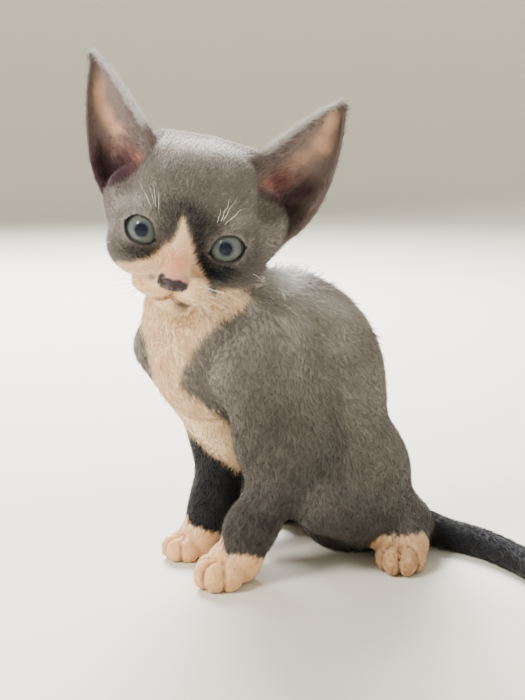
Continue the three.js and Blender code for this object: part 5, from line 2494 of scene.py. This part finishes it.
@dataclass
class Studio:
    """Camera, floor and lights."""

    at: tuple = (0.3581, -0.2467, 0.1757)
    pitch: float = 11.0
    azimuth: float = 60.0
    lens: float = 61.97
    aim: tuple = (-0.02, -0.02, 0.12)
    lamps: tuple = (
        Lamp("key", -0.8, 0.5, 0.8, 0.36, 22.0, (1.0, 0.96, 0.90)),
        Lamp("rim", -0.25, -0.9, 0.75, 0.60, 80.0, (1.0, 0.99, 0.98)),
        Lamp("fill", 0.95, 0.55, 0.35, 0.9, 3.0, (1.0, 0.98, 0.95)),
    )
    sky: Triple = (0.62, 0.60, 0.54)
    sky_strength: float = 1.15
    flat: float = 1.6  # radius of the level floor
    bend: float = 0.8  # radius of its upward curve
    wall: float = 2.2  # height of the wall beyond it
    bend_steps: int = 12
    around: int = 96

    def camera(self) -> None:
        """Sets the camera at the photograph's viewing angle."""
        data = bpy.data.cameras.new("camera")
        data.lens = self.lens
        data.sensor_width = 36.0
        data.clip_start = 0.01
        eye = shown("camera", data)
        eye.location = self.at
        eye.rotation_euler = (math.radians(90 - self.pitch), 0, math.radians(self.azimuth))
        bpy.context.scene.camera = eye

    def lights(self) -> None:
        """Places the lamps and the soft light all round."""
        a = math.radians(self.azimuth)
        right = Vector((math.cos(a), math.sin(a), 0))
        near = Vector((math.sin(a), -math.cos(a), 0))
        for lamp in self.lamps:
            data = bpy.data.lights.new(lamp.name, "AREA")
            data.shape = "SQUARE"
            data.size = lamp.wide
            data.energy = lamp.power
            data.color = lamp.colour
            light = shown(lamp.name, data)
            out = right * lamp.across + near * lamp.toward + Vector((0, 0, lamp.up))
            light.location = Vector(self.aim) + out
            light.rotation_euler = out.to_track_quat("Z", "Y").to_euler()
        world = bpy.data.worlds.new("soft")
        world.use_nodes = True
        ground = world.node_tree.nodes["Background"]
        ground.inputs["Color"].default_value = rgba(self.sky)
        ground.inputs["Strength"].default_value = self.sky_strength
        bpy.context.scene.world = world

    def floor(self, material: bpy.types.Material) -> None:
        """Lays the floor, which curves up all round into a pale wall.

        Args:
            material: its material.
        """
        profile = [(self.flat, 0.0)]
        for n in range(1, self.bend_steps + 1):
            a = math.pi / 2 * n / self.bend_steps
            profile.append((self.flat + self.bend * math.sin(a), self.bend * (1.0 - math.cos(a))))
        profile.append((self.flat + self.bend, self.wall))
        points = [(0.0, 0.0, 0.0)]
        for r, z in profile:
            for n in range(self.around):
                a = 2 * math.pi * n / self.around
                points.append((r * math.cos(a), r * math.sin(a), z))
        faces = [(0, 1 + n, 1 + (n + 1) % self.around) for n in range(self.around)]
        faces += [face[::-1] for face in ring_faces(len(profile), self.around, 1)]
        mesh = smooth_mesh("floor", points, faces)
        mesh.materials.append(material)
        shown("floor", mesh)


# Whole kitten


@dataclass
class Kitten:
    """Puts the skin, the coat, the eyes and the whiskers together."""

    skin: Skin = field(default_factory=lambda: Skin(Head(), Body()))
    markings: Markings = field(default_factory=Markings)
    lie: Lie = field(default_factory=Lie)
    unwrap: Unwrap = field(default_factory=Unwrap)
    gazes: dict = field(default_factory=lambda: {"left": (0.05, 0.0), "right": (-0.05, 0.0)})

    def stretches(self, at: Survey, bare: Array) -> dict[str, Array]:
        """Where each piece of the coat grows.

        Args:
            at: the skin's survey.
            bare: where the skin is bare.

        Returns:
            A density from 0 to 1 at each point, for each piece.
        """
        x, y, z = at.points.T
        trunk, head, ear = (at.label == name for name in ("trunk", "head", "ear"))
        legs = {
            kind: np.isin(at.label, [f"{part}_{kind}_{side}" for part in ("leg", "paw") for side in SIDES])
            for kind in ("fore", "hind")
        }
        face = head & (at.q[:, 1] < 10)
        covered = 1.0 - np.clip(bare, 0, 1)
        under = smooth(0.2, 1.0, z)
        u, v = np.abs(at.ear_uv[:, 0]), at.ear_uv[:, 1]
        inner = at.ear_inside & (at.on_ear > 0.5)
        margin = np.where(inner, smooth(0.5, 0.95, u) + 0.04, 1.0)
        edge = np.maximum(smooth(0.86, 1.0, u), smooth(0.82, 0.98, v))
        fluffy = smooth(76.0, 94.0, z) * smooth(-36.0, -16.0, y) * trunk
        return {
            "face": face * covered,
            "crown": head * (1.0 - face) * covered,
            "ears": ear * margin,
            "ear_edges": ear * np.maximum(edge, inner * 0.25 * smooth(0.45, 0.1, v)),
            "chest": trunk * (y < -20) * under,
            "back_left": trunk * (y >= -20) * (x >= -2) * under,
            "back_right": trunk * (y >= -20) * (x < -2) * under,
            "forelegs": legs["fore"] * under,
            "hindlegs": legs["hind"] * under,
            "tail": (at.label == "tail") * under,
            "locks": fluffy * under,
            "nape": np.clip(Spot(280, 272, 24, 18, 1.0).at(at.drawn), 0, 1) * (at.facing > -0.35) * trunk,
        }

    def mark(self, mesh: bpy.types.Mesh) -> None:
        """Writes the markings, the lie of the coat and the map onto the skin.

        Args:
            mesh: the skin's mesh.
        """
        count = len(mesh.vertices)
        places = np.empty(count * 3)
        mesh.vertices.foreach_get("co", places)
        normals = np.empty(count * 3, np.float32)
        mesh.vertex_normals.foreach_get("vector", normals)
        points = places.reshape(-1, 3) / MM - ORIGIN_SHIFT
        at = Survey(self.skin, points, normals.reshape(-1, 3).astype(float))
        values = self.markings.colours(at)
        for name in ("bare", "moist"):
            write(mesh, name, values[name])
        for name, row in zip(("reach", "lift"), self.lie.lengths(at)):
            write(mesh, name, row)
        for name, share in self.stretches(at, values["bare"]).items():
            write(mesh, f"grow_{name}", share)
        write(mesh, "lie", self.lie.direction(at), "FLOAT_VECTOR")
        tint = np.concatenate([np.clip(values["tint"], 0.003, 0.95), np.ones((count, 1))], axis=1)
        write(mesh, "tint", tint, "FLOAT_COLOR")
        self.unwrap.lay(self.skin, mesh, at)

    def build(self) -> None:
        """Builds every piece and logs its name and size."""
        frame_nodes = [o.name for o in bpy.data.objects if o.type == "MESH"]
        piece = self.skin.build()
        self.mark(piece.data)
        piece.data.materials.append(SkinFinish("skin", 0.8, 0.15).make())
        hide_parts(*[name for name in frame_nodes if not name.startswith("eye_")])
        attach(piece, "root")
        self.report(piece)
        eye = EyeFinish("eye", 0.6, coat=0.6, coat_roughness=0.015, coat_ior=1.36, specular=0.05).make()
        for name, fit in self.skin.head.eyes.items():
            ball = Eyeball(fit, self.gazes[name], self.skin.head).build(f"eyeball_{name}", eye)
            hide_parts(f"eye_{name}")
            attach(ball, "root")
            self.report(ball)
        white = PlainFinish("whisker", 0.45, specular=0.5, colour=(0.86, 0.84, 0.80)).make()
        whiskers = Whiskers(self.skin.head).build(white)
        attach(whiskers, "root")
        self.report(whiskers)
        coat = Coat(piece, HairFinish("hair", 0.68, 0.04, specular=0.12).make())
        tree = coat.node_group()
        for tract in TRACTS:
            grown = coat.grow(tract, tree)
            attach(grown, "root")
            self.report(grown)
        coat.clear()

    @staticmethod
    def report(piece: bpy.types.Object) -> None:
        """Logs a piece's name and size."""
        log.info("%s: %d triangles", piece.name, sum(len(p.vertices) - 2 for p in piece.data.polygons))


def main() -> None:
    """Builds the kitten and the studio round it."""
    logging.basicConfig(level=logging.INFO, format="%(message)s")
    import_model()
    studio = Studio()
    studio.camera()
    Kitten().build()
    studio.lights()
    studio.floor(PlainFinish("floor", 0.9, colour=(0.71, 0.69, 0.61)).make())


if __name__ == "__main__":
    main()
